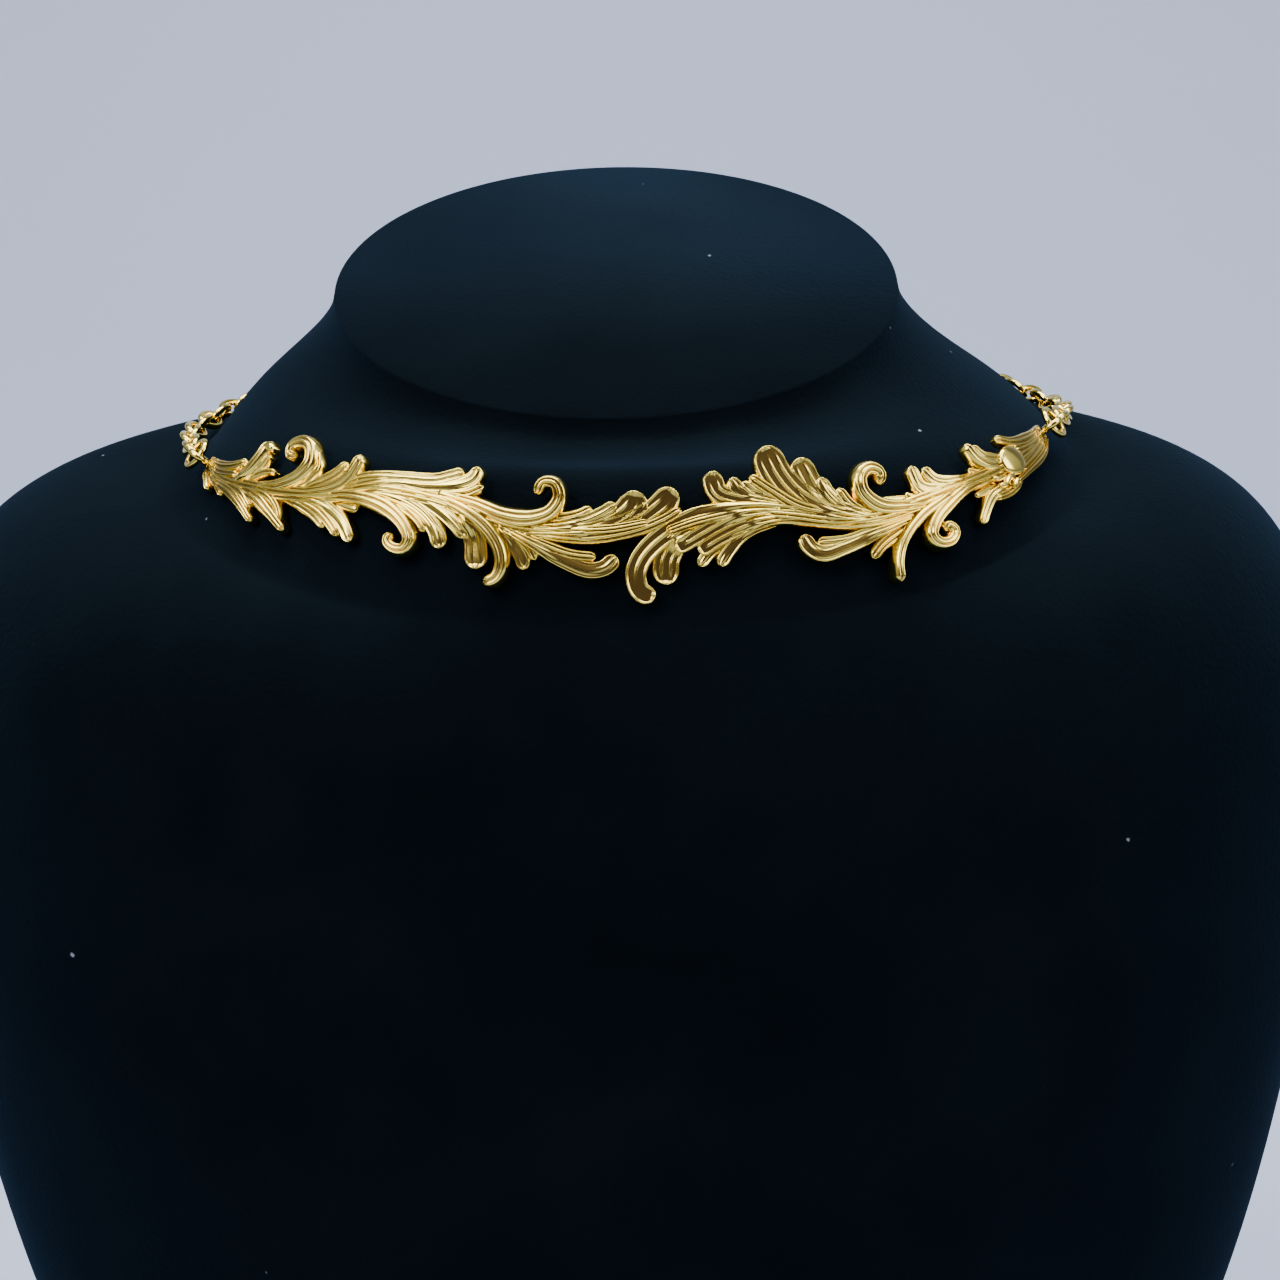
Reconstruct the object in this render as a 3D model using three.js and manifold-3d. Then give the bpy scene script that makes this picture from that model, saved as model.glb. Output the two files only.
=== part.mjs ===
// A collar choker on a velvet neck bust: one cast plate of acanthus leaves and scrolls
// bent round the front of the neck, closed behind by a cable chain and a clasp.
// Millimetres, +Z up. The origin is the middle of the bust's foot, and the front faces -Y.
import * as THREE from "three";
import { mergeVertices } from "three/addons/utils/BufferGeometryUtils.js";
import Module from "manifold-3d";

const wasm = await Module();
wasm.setup();

// Driving dimensions.
const TOUCH_GAP = 0.3; // what touches stays this far apart
const JOIN_BITE = 0.05; // how deep fused links sink into each other

// The loop that the collar and its chain follow: an oval that climbs towards the nape.
// The neck's surface leans in from it by these angles at the front and at the side.
const LOOP = {
  halfWidth: 59, halfDepth: 48, aside: 1.7, height: 170, slope: 0.16, bend: 0.0013,
  leanFront: 12, leanSide: 38,
};

// The cast plate. Its ornament is drawn on a grid of squares that stretches with it.
const COLLAR = { length: 140, height: 20, edge: 0.85, relief: 2.3, fluteWidth: 1 };
const GRID = { columns: 140, rows: 20 };
const LAYERS = { count: 4, step: 0.12 }; // crossing pieces lie in layers, so no two faces coincide
const END_ROW = { left: 2.2, right: 5 }; // grid rows of the plate's two ends

// The wire pieces.
const LUG = { outer: 3.4, wire: 0.9 };
const RING = { outer: 4.8, wire: 0.85 };
const LINK = { length: 5.2, width: 3.5, wire: 0.9 };
const CHAIN_STAND_OFF = 2.2; // from the loop out to the middle of the wire pieces
const CLASP = { length: 12, width: 5.6, bar: 1.1, eyeWidth: 4 };

// The bust.
const BUST = { halfWidth: 97.5, halfDepth: 56, neck: 37 };

// How finely round shapes are cut.
const SIDES = { bust: 40, link: 10, linkWire: 5, ring: 12, ringWire: 5, dome: 12, clasp: 8 };
const STEP = { perPoint: 0.8, fine: 12, loop: 1440 };

// Sections of the neck from its cap down to the collar. The half sizes are shares of the
// loop's, and the heights are shares of the neck's height above the collar.
const NECK_SECTIONS = [
  { side: 0.644, front: 0.688, back: 0.771, zFront: 0.2, zSide: 0.6, zBack: 1 },
  { side: 0.658, front: 0.7, back: 0.779, zFront: 0.13, zSide: 0.5, zBack: 0.9 },
  { side: 0.714, front: 0.765, back: 0.817, zFront: 0.085, zSide: 0.385, zBack: 0.74 },
  { side: 0.819, front: 0.862, back: 0.892, zFront: 0.06, zSide: 0.275, zBack: 0.53 },
];

// The band where the collar sits: how far its edges lie up the neck's surface from the
// loop, as shares of the collar's height.
const SEAT_SECTIONS = [
  { front: 0.3, side: 0.32, back: 0.3 },
  { front: -0.55, side: -0.075, back: -0.15 },
];

// Sections of the torso down to its foot. The half sizes are shares of the way from the
// loop's out to the bust's, the heights are shares of the drop from the collar to the
// foot, and square is the power of the outline, where 2 is an oval.
const TORSO_SECTIONS = [
  { side: 0.15, front: 0.4, back: 0.3, zFront: -0.1, zSide: -0.006, zBack: 0.035, square: 2 },
  { side: 0.38, front: 0.65, back: 0.69, zFront: -0.135, zSide: -0.008, zBack: -0.012, square: 2.05 },
  { side: 0.595, front: 0.86, back: 0.9, zFront: -0.18, zSide: -0.026, zBack: -0.085, square: 2.1 },
  { side: 0.785, front: 0.96, back: 1, zFront: -0.25, zSide: -0.062, zBack: -0.17, square: 2.15 },
  { side: 0.925, front: 1, back: 0.9, zFront: -0.335, zSide: -0.13, zBack: -0.27, square: 2.2 },
  { side: 1, front: 0.9, back: 0.58, zFront: -0.43, zSide: -0.25, zBack: -0.385, square: 2.25 },
  { side: 0.925, front: 0.65, back: 0.16, zFront: -0.54, zSide: -0.395, zBack: -0.505, square: 2.3 },
  { side: 0.81, front: 0.26, back: -0.26, zFront: -0.655, zSide: -0.54, zBack: -0.63, square: 2.3 },
  { side: 0.645, front: -0.22, back: -0.68, zFront: -0.77, zSide: -0.685, zBack: -0.75, square: 2.3 },
  { side: 0.38, front: -0.75, back: -1.1, zFront: -0.885, zSide: -0.835, zBack: -0.875, square: 2.3 },
  { side: 0.1, front: -1.2, back: -1.4, zFront: -1, zSide: -1, zBack: -1, square: 2.3 },
];

// The strokes of the ornament, which are its stems, scrolls, hooks and the lobes of its
// leaves: half widths in squares at the root, belly and tip, the share of the plate's relief
// that the crest rises to, and a path over the grid.
const STROKES = [
  // The two stems, from the plate's ends to its middle.
  { root: 1, belly: 1.3, tip: 0.8, crest: 0.8, path: [[-69.5, 2.3], [-62, 1.6], [-54, 1.8], [-46, 2.1],
    [-38, 2.9], [-31, 3.9], [-25, 3.3], [-20, 2], [-15, 0.6], [-9, -0.2], [-3, -0.2], [2, 0.6]] },
  { root: 1, belly: 1.3, tip: 0.8, crest: 0.8, path: [[69.5, 4.8], [62, 4], [55, 3.1], [49, 2.4],
    [43, 1.7], [37, 0.7], [31, -0.3], [25, -0.4], [19, 0.7], [13, 1.4], [8, 0.7], [4, -0.5]] },
  // The left end.
  { root: 0.5, belly: 0.9, tip: 0.7, crest: 0.75, path: [[-69.5, 3], [-64, 3.1], [-60.8, 3.8],
    [-58.3, 4.8]] },
  { root: 0.5, belly: 0.7, tip: 0.6, crest: 0.7, path: [[-69, 2.2], [-64, 2.2], [-59.2, 2.8]] },
  { root: 0.5, belly: 0.6, tip: 0.45, crest: 0.65, path: [[-69.5, 1.3], [-67, 0.5], [-64.8, -0.6]] },
  { root: 0.5, belly: 0.6, tip: 0.4, crest: 0.65, path: [[-68, 1.4], [-63.5, 0.6], [-60.5, -0.5]] },
  { root: 0.5, belly: 1, tip: 0.55, crest: 0.8, path: [[-65, 0.9], [-58.5, 0.3], [-54.8, -0.9],
    [-51.6, -2.5]] },
  { root: 0.5, belly: 0.7, tip: 0.45, crest: 0.75, path: [[-62, 1.3], [-56, 0.7], [-52.9, -0.8]] },
  { root: 0.5, belly: 1.1, tip: 0.65, crest: 0.8, path: [[-58, 1.4], [-52.4, 0.5], [-49, -0.9],
    [-45.6, -2.7]] },
  { root: 0.5, belly: 0.8, tip: 0.45, crest: 0.75, path: [[-56, 2], [-50.4, 1.3], [-47.8, -0.1],
    [-46.7, -1.4]] },
  { root: 0.8, belly: 1.2, tip: 1.15, crest: 0.9, path: [[-59, 2], [-56.6, 3.6], [-55.4, 5.8],
    [-54.8, 8.1]] },
  { root: 0.5, belly: 0.65, tip: 0.3, crest: 0.85, path: [[-55.6, 6.4], [-54.2, 7.5], [-52.4, 7.1]] },
  { root: 0.8, belly: 0.7, tip: 0.3, crest: 0.6, path: [[-57, 2.6], [-53.4, 4.1], [-50.5, 4.8]] },
  { root: 0.8, belly: 0.8, tip: 0.3, crest: 0.7, path: [[-56, 3.4], [-54.4, 4.8], [-53.2, 6.4]] },
  // The first scroll, and the leaves on both sides of it.
  { root: 0.7, belly: 1.35, tip: 0.55, crest: 1, path: [[-53, 2.3], [-48.5, 3], [-45.5, 4.6],
    [-44.4, 6.6], [-45.3, 8.4], [-47.2, 8.9], [-48.9, 8.1], [-48.7, 7], [-47, 6.9]] },
  { root: 0.5, belly: 0.8, tip: 0.4, crest: 0.65, path: [[-48, 2.8], [-44.4, 4], [-42.9, 6], [-43.8, 8]
    ] },
  { root: 0.5, belly: 1.05, tip: 1.1, crest: 0.9, path: [[-46, 2.4], [-40.5, 3.2], [-37.6, 4.8],
    [-36.6, 6.4], [-36, 8.1]] },
  { root: 0.5, belly: 1, tip: 0.9, crest: 0.8, path: [[-45, 2.8], [-41.5, 4.3], [-39.4, 5.5], [-38, 6.9]
    ] },
  { root: 0.5, belly: 0.7, tip: 0.5, crest: 0.7, path: [[-44, 2.2], [-39, 2.8], [-36.5, 3.9],
    [-35.7, 5.6]] },
  { root: 0.4, belly: 0.8, tip: 0.7, crest: 0.7, path: [[-48, 1.4], [-44, 0.6], [-41.6, -0.3],
    [-39.6, -1.5]] },
  { root: 0.4, belly: 0.9, tip: 0.85, crest: 0.75, path: [[-47, 1.7], [-42, 0.8], [-39.2, -0.6],
    [-37.2, -2.3]] },
  { root: 0.4, belly: 1, tip: 1, crest: 0.8, path: [[-46, 2], [-40.5, 1.3], [-37.2, -0.4], [-35.3, -2.9]
    ] },
  { root: 0.5, belly: 0.8, tip: 0.6, crest: 0.42, path: [[-46, 2], [-40, 1.9], [-35.4, 1.3]] },
  // The long leaf of the left half, with the scroll below it.
  { root: 0.6, belly: 0.9, tip: 0.9, crest: 0.85, path: [[-40, 3.4], [-34.8, 5.4], [-29, 5.7],
    [-24.6, 5.7], [-22.6, 6.2], [-20.9, 6.7]] },
  { root: 0.5, belly: 1, tip: 1.15, crest: 0.85, path: [[-40, 3], [-32, 4.9], [-25, 4.9], [-21.4, 5.2],
    [-19.6, 6], [-19, 7.4]] },
  { root: 0.5, belly: 0.8, tip: 0.7, crest: 0.7, path: [[-32, 4], [-24, 3.9], [-20.4, 4.1], [-18.3, 5]
    ] },
  { root: 0.5, belly: 0.6, tip: 0.5, crest: 0.45, path: [[-28, 3.4], [-22, 3.2], [-18.7, 3.3]] },
  { root: 0.6, belly: 1.35, tip: 0.8, crest: 1, path: [[-42, 2.3], [-36, 2.7], [-31.5, 1.9],
    [-28.6, 0.2], [-27.2, -1.8], [-27.7, -3.1], [-29, -3.2], [-30, -2.4], [-29.6, -1.3]] },
  { root: 0.5, belly: 1.15, tip: 1.25, crest: 0.85, path: [[-38, 3], [-31, 3.3], [-26.6, 1.8],
    [-24.2, -0.4], [-23.2, -2.8]] },
  { root: 0.5, belly: 1.1, tip: 1.1, crest: 0.85, path: [[-38, 3.4], [-29, 4.2], [-24.4, 2.3],
    [-21.8, 0.5], [-20, -1.3]] },
  { root: 0.4, belly: 0.8, tip: 0.65, crest: 0.75, path: [[-36, 2.6], [-30, 2.4], [-26.7, 0.6],
    [-25.4, -0.9]] },
  { root: 0.6, belly: 1.4, tip: 1.65, crest: 0.8, path: [[-22, 2.4], [-20, 0.4], [-19, -2],
    [-18.7, -5.1]] },
  { root: 0.5, belly: 1.15, tip: 1, crest: 1, path: [[-26, 3.8], [-21.4, 2.5], [-18, 0.4],
    [-15.9, -2.3], [-15.5, -4.6], [-16.2, -6.2], [-17.7, -6.8]] },
  { root: 0.4, belly: 0.95, tip: 1, crest: 0.7, path: [[-17, 1], [-14.6, -1.6], [-13.4, -3.2],
    [-12.7, -5]] },
  { root: 0.4, belly: 0.85, tip: 0.8, crest: 0.65, path: [[-16, 0.6], [-13.6, -1.2], [-12.3, -2.4],
    [-11.5, -3.8]] },
  { root: 0.7, belly: 1.35, tip: 0.8, crest: 1, path: [[-24, 4], [-19, 2.8], [-15.5, 1.5], [-12.3, 1.2],
    [-9.8, 2.1], [-8.7, 4], [-9.3, 5.5], [-10.8, 5.6], [-11.5, 4.1]] },
  // The leaves that meet in the middle, on the left.
  { root: 0.6, belly: 0.9, tip: 0.85, crest: 0.6, path: [[-13, 0.8], [-9, 1.2], [-6.4, 1.7], [-4.8, 2.5]
    ] },
  { root: 0.4, belly: 1, tip: 0.95, crest: 0.75, path: [[-12, 0.5], [-6.5, 0.8], [-4, 1.7], [-1.9, 3]
    ] },
  { root: 0.5, belly: 1.5, tip: 2, crest: 0.9, path: [[-13, 0], [-5, 0.2], [-1.3, 1.6], [0.1, 3],
    [0.5, 4.6]] },
  { root: 0.5, belly: 1.4, tip: 1.85, crest: 0.9, path: [[-13, -0.5], [-4, -0.4], [1, 1], [3.6, 2.8],
    [5.3, 4.6]] },
  { root: 0.5, belly: 0.9, tip: 0.8, crest: 0.75, path: [[-14, -0.3], [-6, -1.2], [0, -0.4], [3.6, 0.9],
    [5.9, 2.2]] },
  { root: 0.5, belly: 1.05, tip: 1.2, crest: 0.85, path: [[-17, 0.8], [-12, -1.8], [-8.3, -3.8],
    [-5.2, -5], [-3.3, -4.7], [-1.9, -3.3]] },
  { root: 0.4, belly: 0.8, tip: 0.75, crest: 0.75, path: [[-14, -0.2], [-10.5, -1.9], [-7.5, -3],
    [-4.3, -3.4]] },
  { root: 0.5, belly: 0.7, tip: 0.5, crest: 0.5, path: [[-12, -1.6], [-8.5, -3.2], [-5, -4]] },
  // The leaves that meet in the middle, on the right.
  { root: 0.6, belly: 1.5, tip: 1.3, crest: 0.95, path: [[22, 1.2], [14, 1.9], [8, 1.1], [3.6, -1],
    [1, -3.6], [0.3, -5.8], [0.9, -7.7], [2.6, -8.4]] },
  { root: 0.6, belly: 1.5, tip: 1.7, crest: 0.8, path: [[9, 0.6], [5.8, -1.2], [4.1, -3.4], [3.8, -6.9]
    ] },
  { root: 0.5, belly: 1.1, tip: 1.1, crest: 0.9, path: [[18, 1.6], [12, 1.1], [8.2, -0.7], [5, -2.6]] },
  { root: 0.5, belly: 1.1, tip: 1.1, crest: 0.85, path: [[19, 0.9], [13.6, 0.5], [10.4, -0.9],
    [7.6, -2.9]] },
  { root: 0.4, belly: 0.9, tip: 0.9, crest: 0.7, path: [[16, 0.1], [11.6, -1.5], [9.2, -3.1],
    [7.8, -4.8]] },
  { root: 0.4, belly: 0.9, tip: 0.95, crest: 0.75, path: [[18, 0], [13.4, -1.2], [11.5, -3],
    [10.2, -4.9]] },
  { root: 0.5, belly: 1.3, tip: 1.5, crest: 0.8, path: [[19, 2.2], [13.4, 3], [10.4, 4.2], [9.8, 6.7]
    ] },
  { root: 0.5, belly: 1, tip: 1.05, crest: 0.75, path: [[19, 2.3], [15, 3.3], [13, 4.3], [12.2, 5.8]] },
  { root: 0.5, belly: 0.9, tip: 0.85, crest: 0.65, path: [[19.5, 2], [16.6, 3], [14.8, 4], [13.6, 5.2]
    ] },
  { root: 0.6, belly: 0.8, tip: 0.5, crest: 0.45, path: [[20, 1.6], [14.5, 2.6], [9.6, 3.2]] },
  { root: 0.5, belly: 2, tip: 2.3, crest: 0.95, path: [[31, -0.8], [24, 0.6], [20, 3.2], [17.9, 6],
    [16.6, 9.4]] },
  { root: 0.5, belly: 1.1, tip: 0.9, crest: 0.75, path: [[28, 0], [20.6, 1.6], [17.2, 3.8], [14.5, 5.8]
    ] },
  { root: 0.5, belly: 1.7, tip: 1.9, crest: 0.9, path: [[31.5, -0.7], [25.6, 1.1], [22.6, 3.8],
    [20.9, 7.7]] },
  { root: 0.4, belly: 1.2, tip: 1.15, crest: 0.8, path: [[32, -0.6], [27, 0.8], [24.6, 2.8], [23.4, 5.1]
    ] },
  { root: 0.4, belly: 1, tip: 0.95, crest: 0.7, path: [[32.5, -0.6], [28.6, 0.4], [26.9, 1.8],
    [25.8, 3.6]] },
  { root: 0.5, belly: 0.8, tip: 0.5, crest: 0.75, path: [[36, -0.4], [29, -1.2], [23, -0.5], [18, 0.1],
    [14, -0.4]] },
  // The scrolls, hook and leaves of the right half.
  { root: 0.6, belly: 1.35, tip: 0.95, crest: 1, path: [[40, 0.8], [34.5, 0.4], [30.8, 1], [28.9, 3],
    [29.1, 4.9], [30.5, 5.7], [31.8, 5], [31.5, 3.5]] },
  { root: 0.5, belly: 0.6, tip: 0.5, crest: 0.42, path: [[38, 1.2], [34, 1.5], [30.8, 1.6]] },
  { root: 0.4, belly: 1, tip: 1.2, crest: 0.85, path: [[37, -0.7], [30.5, -2.3], [25.5, -3.8],
    [22.8, -4.3], [21.3, -3.4], [20.5, -1.7]] },
  { root: 0.35, belly: 0.8, tip: 0.8, crest: 0.75, path: [[36, -0.8], [30, -1.9], [26, -2.8],
    [22.3, -2.8]] },
  { root: 0.4, belly: 1, tip: 0.8, crest: 0.6, path: [[37, -1.2], [32.8, -2.8], [30.7, -3.9],
    [29.1, -5.4]] },
  { root: 0.5, belly: 0.9, tip: 0.8, crest: 1, path: [[46, 2.3], [40, 0.4], [36, -1.4], [33.3, -3.8],
    [32.1, -6.2], [31.8, -8.9]] },
  { root: 0.5, belly: 1.15, tip: 1.15, crest: 0.8, path: [[47, 2.6], [40.6, 1.8], [37.7, 2.6],
    [36.9, 5.4]] },
  { root: 0.4, belly: 1, tip: 1, crest: 0.75, path: [[47, 2.9], [42.6, 2.7], [40.2, 3.3], [38.8, 4.9]
    ] },
  { root: 0.5, belly: 0.6, tip: 0.4, crest: 0.55, path: [[42, 1.4], [38, 1.1], [35.2, 2]] },
  { root: 0.5, belly: 1.15, tip: 0.7, crest: 1, path: [[50, 2.3], [44.5, 1.3], [40.8, -0.3], [38.3, -2],
    [37.3, -3.7], [38.1, -4.8], [39.7, -4.8], [40.6, -3.7], [40, -2.9], [39.2, -3.3]] },
  { root: 0.6, belly: 1.2, tip: 0.9, crest: 0.85, path: [[54, 3], [50.2, 3.9], [48.4, 5.1], [47.4, 7]
    ] },
  { root: 0.6, belly: 0.9, tip: 0.6, crest: 0.75, path: [[55, 4], [52, 4.5], [50.2, 5.1], [48.8, 6.6]
    ] },
  { root: 0.6, belly: 0.9, tip: 0.4, crest: 0.55, path: [[53, 2.4], [49, 3], [46.6, 3.7]] },
  { root: 0.6, belly: 0.9, tip: 0.75, crest: 0.75, path: [[54, 1], [49, -0.3], [47.2, -1.6],
    [45.5, -3.4]] },
  { root: 0.6, belly: 0.7, tip: 0.4, crest: 0.42, path: [[52, 1], [48.6, 0.6], [46.4, 0.3]] },
  // The knot below the dome, and the right end.
  { root: 0.6, belly: 0.8, tip: 0.6, crest: 0.75, path: [[56, 0.8], [53.6, -0.1], [51.4, -0.6],
    [49.2, -0.7]] },
  { root: 0.5, belly: 0.6, tip: 0.4, crest: 0.9, path: [[55, 1.6], [52.8, 1.3], [51.4, 0.6], [50.4, 0.8]
    ] },
  { root: 0.4, belly: 0.5, tip: 0.4, crest: 1, path: [[54.6, 0.9], [53.6, 0.6], [52.8, 0]] },
  { root: 0.4, belly: 0.5, tip: 0.4, crest: 0.85, path: [[52.6, 1.9], [51, 1.6], [49.8, 1.9]] },
  { root: 0.5, belly: 0.9, tip: 0.4, crest: 0.75, path: [[69.5, 5.8], [63, 5.5], [58, 5.8], [54.3, 6.9]
    ] },
  { root: 0.6, belly: 1, tip: 0.8, crest: 0.7, path: [[69.5, 5.3], [63, 4.6], [57.6, 4.6]] },
  { root: 0.6, belly: 1, tip: 0.8, crest: 0.7, path: [[69.5, 4.5], [63, 3.2], [57, 2.1]] },
  { root: 0.5, belly: 0.8, tip: 0.5, crest: 0.75, path: [[69.5, 3.9], [63.5, 2.4], [58.5, 1.5],
    [54.4, 0.6]] },
];

// How a stroke's tip rounds off: how far from the very end, and how wide it still is, both
// as shares of its last half width.
const TIP = [{ back: 1, width: 1 }, { back: 0.35, width: 0.76 }, { back: 0, width: 0.3 }];

// The smooth dome on the right of the plate, in squares of the grid.
const DOME = { column: 55.4, row: 3.4, halfWidth: 2.7, halfHeight: 2, crest: 0.95, rings: 3 };

const GOLD = new THREE.MeshStandardMaterial({ color: "#d9b04c", roughness: 0.22, metalness: 1 });
const CHAIN_GOLD = new THREE.MeshStandardMaterial({ color: "#dfb955", roughness: 0.2, metalness: 1 });
const VELVET = new THREE.MeshStandardMaterial({ color: "#0a1119", roughness: 0.95, metalness: 0 });

const { degToRad, lerp, smoothstep } = THREE.MathUtils;

// The loop's point at an angle from the front, seen from above.
function loopPoint(angle) {
  const y = -LOOP.halfDepth * Math.cos(angle);
  const climb = LOOP.slope * y + LOOP.bend * y * y;
  return new THREE.Vector3(LOOP.aside + LOOP.halfWidth * Math.sin(angle), y, LOOP.height + climb);
}

// The neck's surface at an angle: the loop's point, the way along it, the way up the
// surface, which leans in to the neck, and the way out of it.
function frameAtAngle(angle) {
  const step = 1e-3;
  const point = loopPoint(angle);
  const tangent = loopPoint(angle + step).sub(loopPoint(angle - step)).normalize();
  const outward = new THREE.Vector3(Math.sin(angle) / LOOP.halfWidth, -Math.cos(angle) / LOOP.halfDepth, 0);
  const lean = degToRad(lerp(LOOP.leanFront, LOOP.leanSide, Math.sin(angle) ** 2));
  const up = outward.normalize().multiplyScalar(-Math.sin(lean));
  up.z = Math.cos(lean);
  up.addScaledVector(tangent, -up.dot(tangent)).normalize();
  return { point, tangent, up, out: tangent.clone().cross(up) };
}

// Arc lengths along the loop from its front, in equal steps of the angle.
const arcs = (() => {
  const angles = Array.from({ length: STEP.loop + 1 }, (_, i) => 2 * Math.PI * (i / STEP.loop - 0.5));
  const lengths = [0];
  for (let i = 1; i <= STEP.loop; i++)
    lengths.push(lengths[i - 1] + loopPoint(angles[i]).distanceTo(loopPoint(angles[i - 1])));
  const front = lengths[STEP.loop / 2];
  return { angles, lengths: lengths.map((length) => length - front) };
})();
const NAPE = arcs.lengths[STEP.loop]; // arc length from the front to the nape

// The neck's surface at a length along the loop. Lengths beyond the nape run on round it.
function frameAt(along) {
  const wrapped = THREE.MathUtils.euclideanModulo(along + NAPE, 2 * NAPE) - NAPE;
  let [low, high] = [0, STEP.loop];
  while (high - low > 1) {
    const middle = (low + high) >> 1;
    if (arcs.lengths[middle] <= wrapped) low = middle;
    else high = middle;
  }
  const share = (wrapped - arcs.lengths[low]) / (arcs.lengths[high] - arcs.lengths[low]);
  return frameAtAngle(lerp(arcs.angles[low], arcs.angles[high], share));
}

// A point by its place along the loop, up the neck's surface and out of it.
function onNeck(along, up, out) {
  const frame = frameAt(along);
  return frame.point.addScaledVector(frame.up, up).addScaledVector(frame.out, out);
}

// Places on the plate's grid, in millimetres along the loop and up the neck.
const columnAt = (column) => (column * COLLAR.length) / GRID.columns;
const rowAt = (row) => (row * COLLAR.height) / GRID.rows;

// A closed solid from points and triangles.
function solidFrom(points, triangles) {
  return new wasm.Manifold(new wasm.Mesh({
    numProp: 3,
    vertProperties: new Float32Array(points.flatMap((p) => [p.x, p.y, p.z])),
    triVerts: new Uint32Array(triangles.flat()),
  }));
}

// A closed solid from a geometry, moved to its place.
function solidOf(geometry, matrix) {
  const bare = geometry.clone().applyMatrix4(matrix);
  bare.deleteAttribute("normal");
  bare.deleteAttribute("uv");
  const merged = mergeVertices(bare, 1e-4);
  return new wasm.Manifold(new wasm.Mesh({
    numProp: 3,
    vertProperties: new Float32Array(merged.attributes.position.array),
    triVerts: new Uint32Array(merged.index.array),
  }));
}

// A closed body through rings of points, with a flat lid on each end.
function loft(rings) {
  const sides = rings[0].length;
  const triangles = [];
  for (let r = 0; r + 1 < rings.length; r++)
    for (let s = 0; s < sides; s++) {
      const [a, b] = [r * sides + s, r * sides + ((s + 1) % sides)];
      triangles.push([a, b, b + sides], [a, b + sides, a + sides]);
    }
  const last = (rings.length - 1) * sides;
  for (let s = 1; s + 1 < sides; s++)
    triangles.push([0, s + 1, s], [last, last + s, last + s + 1]);
  return solidFrom(rings.flat(), triangles);
}

// A wire bent round a closed line of centres, with an edge of its section on the inside.
// The outs give each centre's way out of the bend, and the bend lies across the way z.
function wireLoop(centres, outs, z, wire, wireSides) {
  const rings = centres.map((centre, i) => Array.from({ length: wireSides }, (_, w) => {
    const turn = Math.PI + (2 * Math.PI * w) / wireSides;
    return centre.clone()
      .addScaledVector(outs[i], (wire / 2) * Math.cos(turn))
      .addScaledVector(z, (wire / 2) * Math.sin(turn));
  }));
  const at = (a, w) => (a % rings.length) * wireSides + (w % wireSides);
  const triangles = [];
  for (let a = 0; a < rings.length; a++)
    for (let w = 0; w < wireSides; w++)
      triangles.push([at(a, w), at(a + 1, w), at(a + 1, w + 1)], [at(a, w), at(a + 1, w + 1), at(a, w + 1)]);
  return solidFrom(rings.flat(), triangles);
}

// A ring or an oval link of wire: its middle, the ways along its length and its width, and
// half of each, measured to the middle of the wire.
function wireOval(middle, x, y, halfLength, halfWidth, wire, { around, section }) {
  const angles = Array.from({ length: around }, (_, i) => (2 * Math.PI * (i + 0.5)) / around);
  const reach = halfLength / Math.cos(Math.PI / around); // the flat ends lie at the half length
  const centres = angles.map((angle) => middle.clone()
    .addScaledVector(x, reach * Math.cos(angle)).addScaledVector(y, halfWidth * Math.sin(angle)));
  const outs = angles.map((angle) => x.clone().multiplyScalar(halfWidth * Math.cos(angle))
    .addScaledVector(y, halfLength * Math.sin(angle)).normalize());
  return wireLoop(centres, outs, x.clone().cross(y), wire, section);
}

// A smooth line over the grid through a few points, in millimetres.
function gridCurve(path) {
  const points = path.map(([column, row]) => new THREE.Vector3(columnAt(column), rowAt(row), 0));
  return new THREE.CatmullRomCurve3(points, false, "centripetal");
}

// One stroke of the ornament: a roof-shaped bar that follows its path over the neck,
// swells from its root to its belly and ends in a round tip. Its sections lie closer
// together where its path's points do.
function stroke({ path, root, belly, tip, crest }, bottom) {
  const curve = gridCurve(path);
  const pieces = Math.round((path.length - 1) * STEP.perPoint);
  const lengths = curve.getLengths(pieces * STEP.fine);
  const whole = lengths.at(-1);
  const ball = tip * COLLAR.fluteWidth;
  const stations = Array.from({ length: pieces }, (_, i) =>
    ({ share: (lengths[i * STEP.fine] * (whole - ball)) / whole ** 2, round: 1 }));
  stations.push(...TIP.map(({ back, width }) => ({ share: 1 - (back * ball) / whole, round: width })));
  const rings = stations.map(({ share, round }) => {
    const at = curve.getPointAt(share);
    const along = curve.getTangentAt(share);
    const width = share < 0.5 ? lerp(root, belly, share * 2) : lerp(belly, tip, share * 2 - 1);
    const half = width * COLLAR.fluteWidth * round;
    const high = lerp(COLLAR.edge, Math.max(crest * COLLAR.relief, COLLAR.edge), round);
    const across = [[-half, bottom], [half, bottom], [half, COLLAR.edge], [0, high], [-half, COLLAR.edge]];
    return across.map(([side, out]) => onNeck(at.x - side * along.y, at.y + side * along.x, out));
  });
  return loft(rings);
}

// The low dome as rings that shrink to its top.
function dome() {
  const ring = (share, out) => Array.from({ length: SIDES.dome }, (_, i) => {
    const angle = (2 * Math.PI * i) / SIDES.dome;
    const column = DOME.column + DOME.halfWidth * share * Math.cos(angle);
    const row = DOME.row + DOME.halfHeight * share * Math.sin(angle);
    return onNeck(columnAt(column), rowAt(row), out);
  });
  const caps = Array.from({ length: DOME.rings + 1 }, (_, i) => {
    const slope = (Math.PI / 2) * (i / (DOME.rings + 0.5));
    return ring(Math.cos(slope), lerp(COLLAR.edge, DOME.crest * COLLAR.relief, Math.sin(slope)));
  });
  return loft([ring(1, 0), ...caps]);
}

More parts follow.
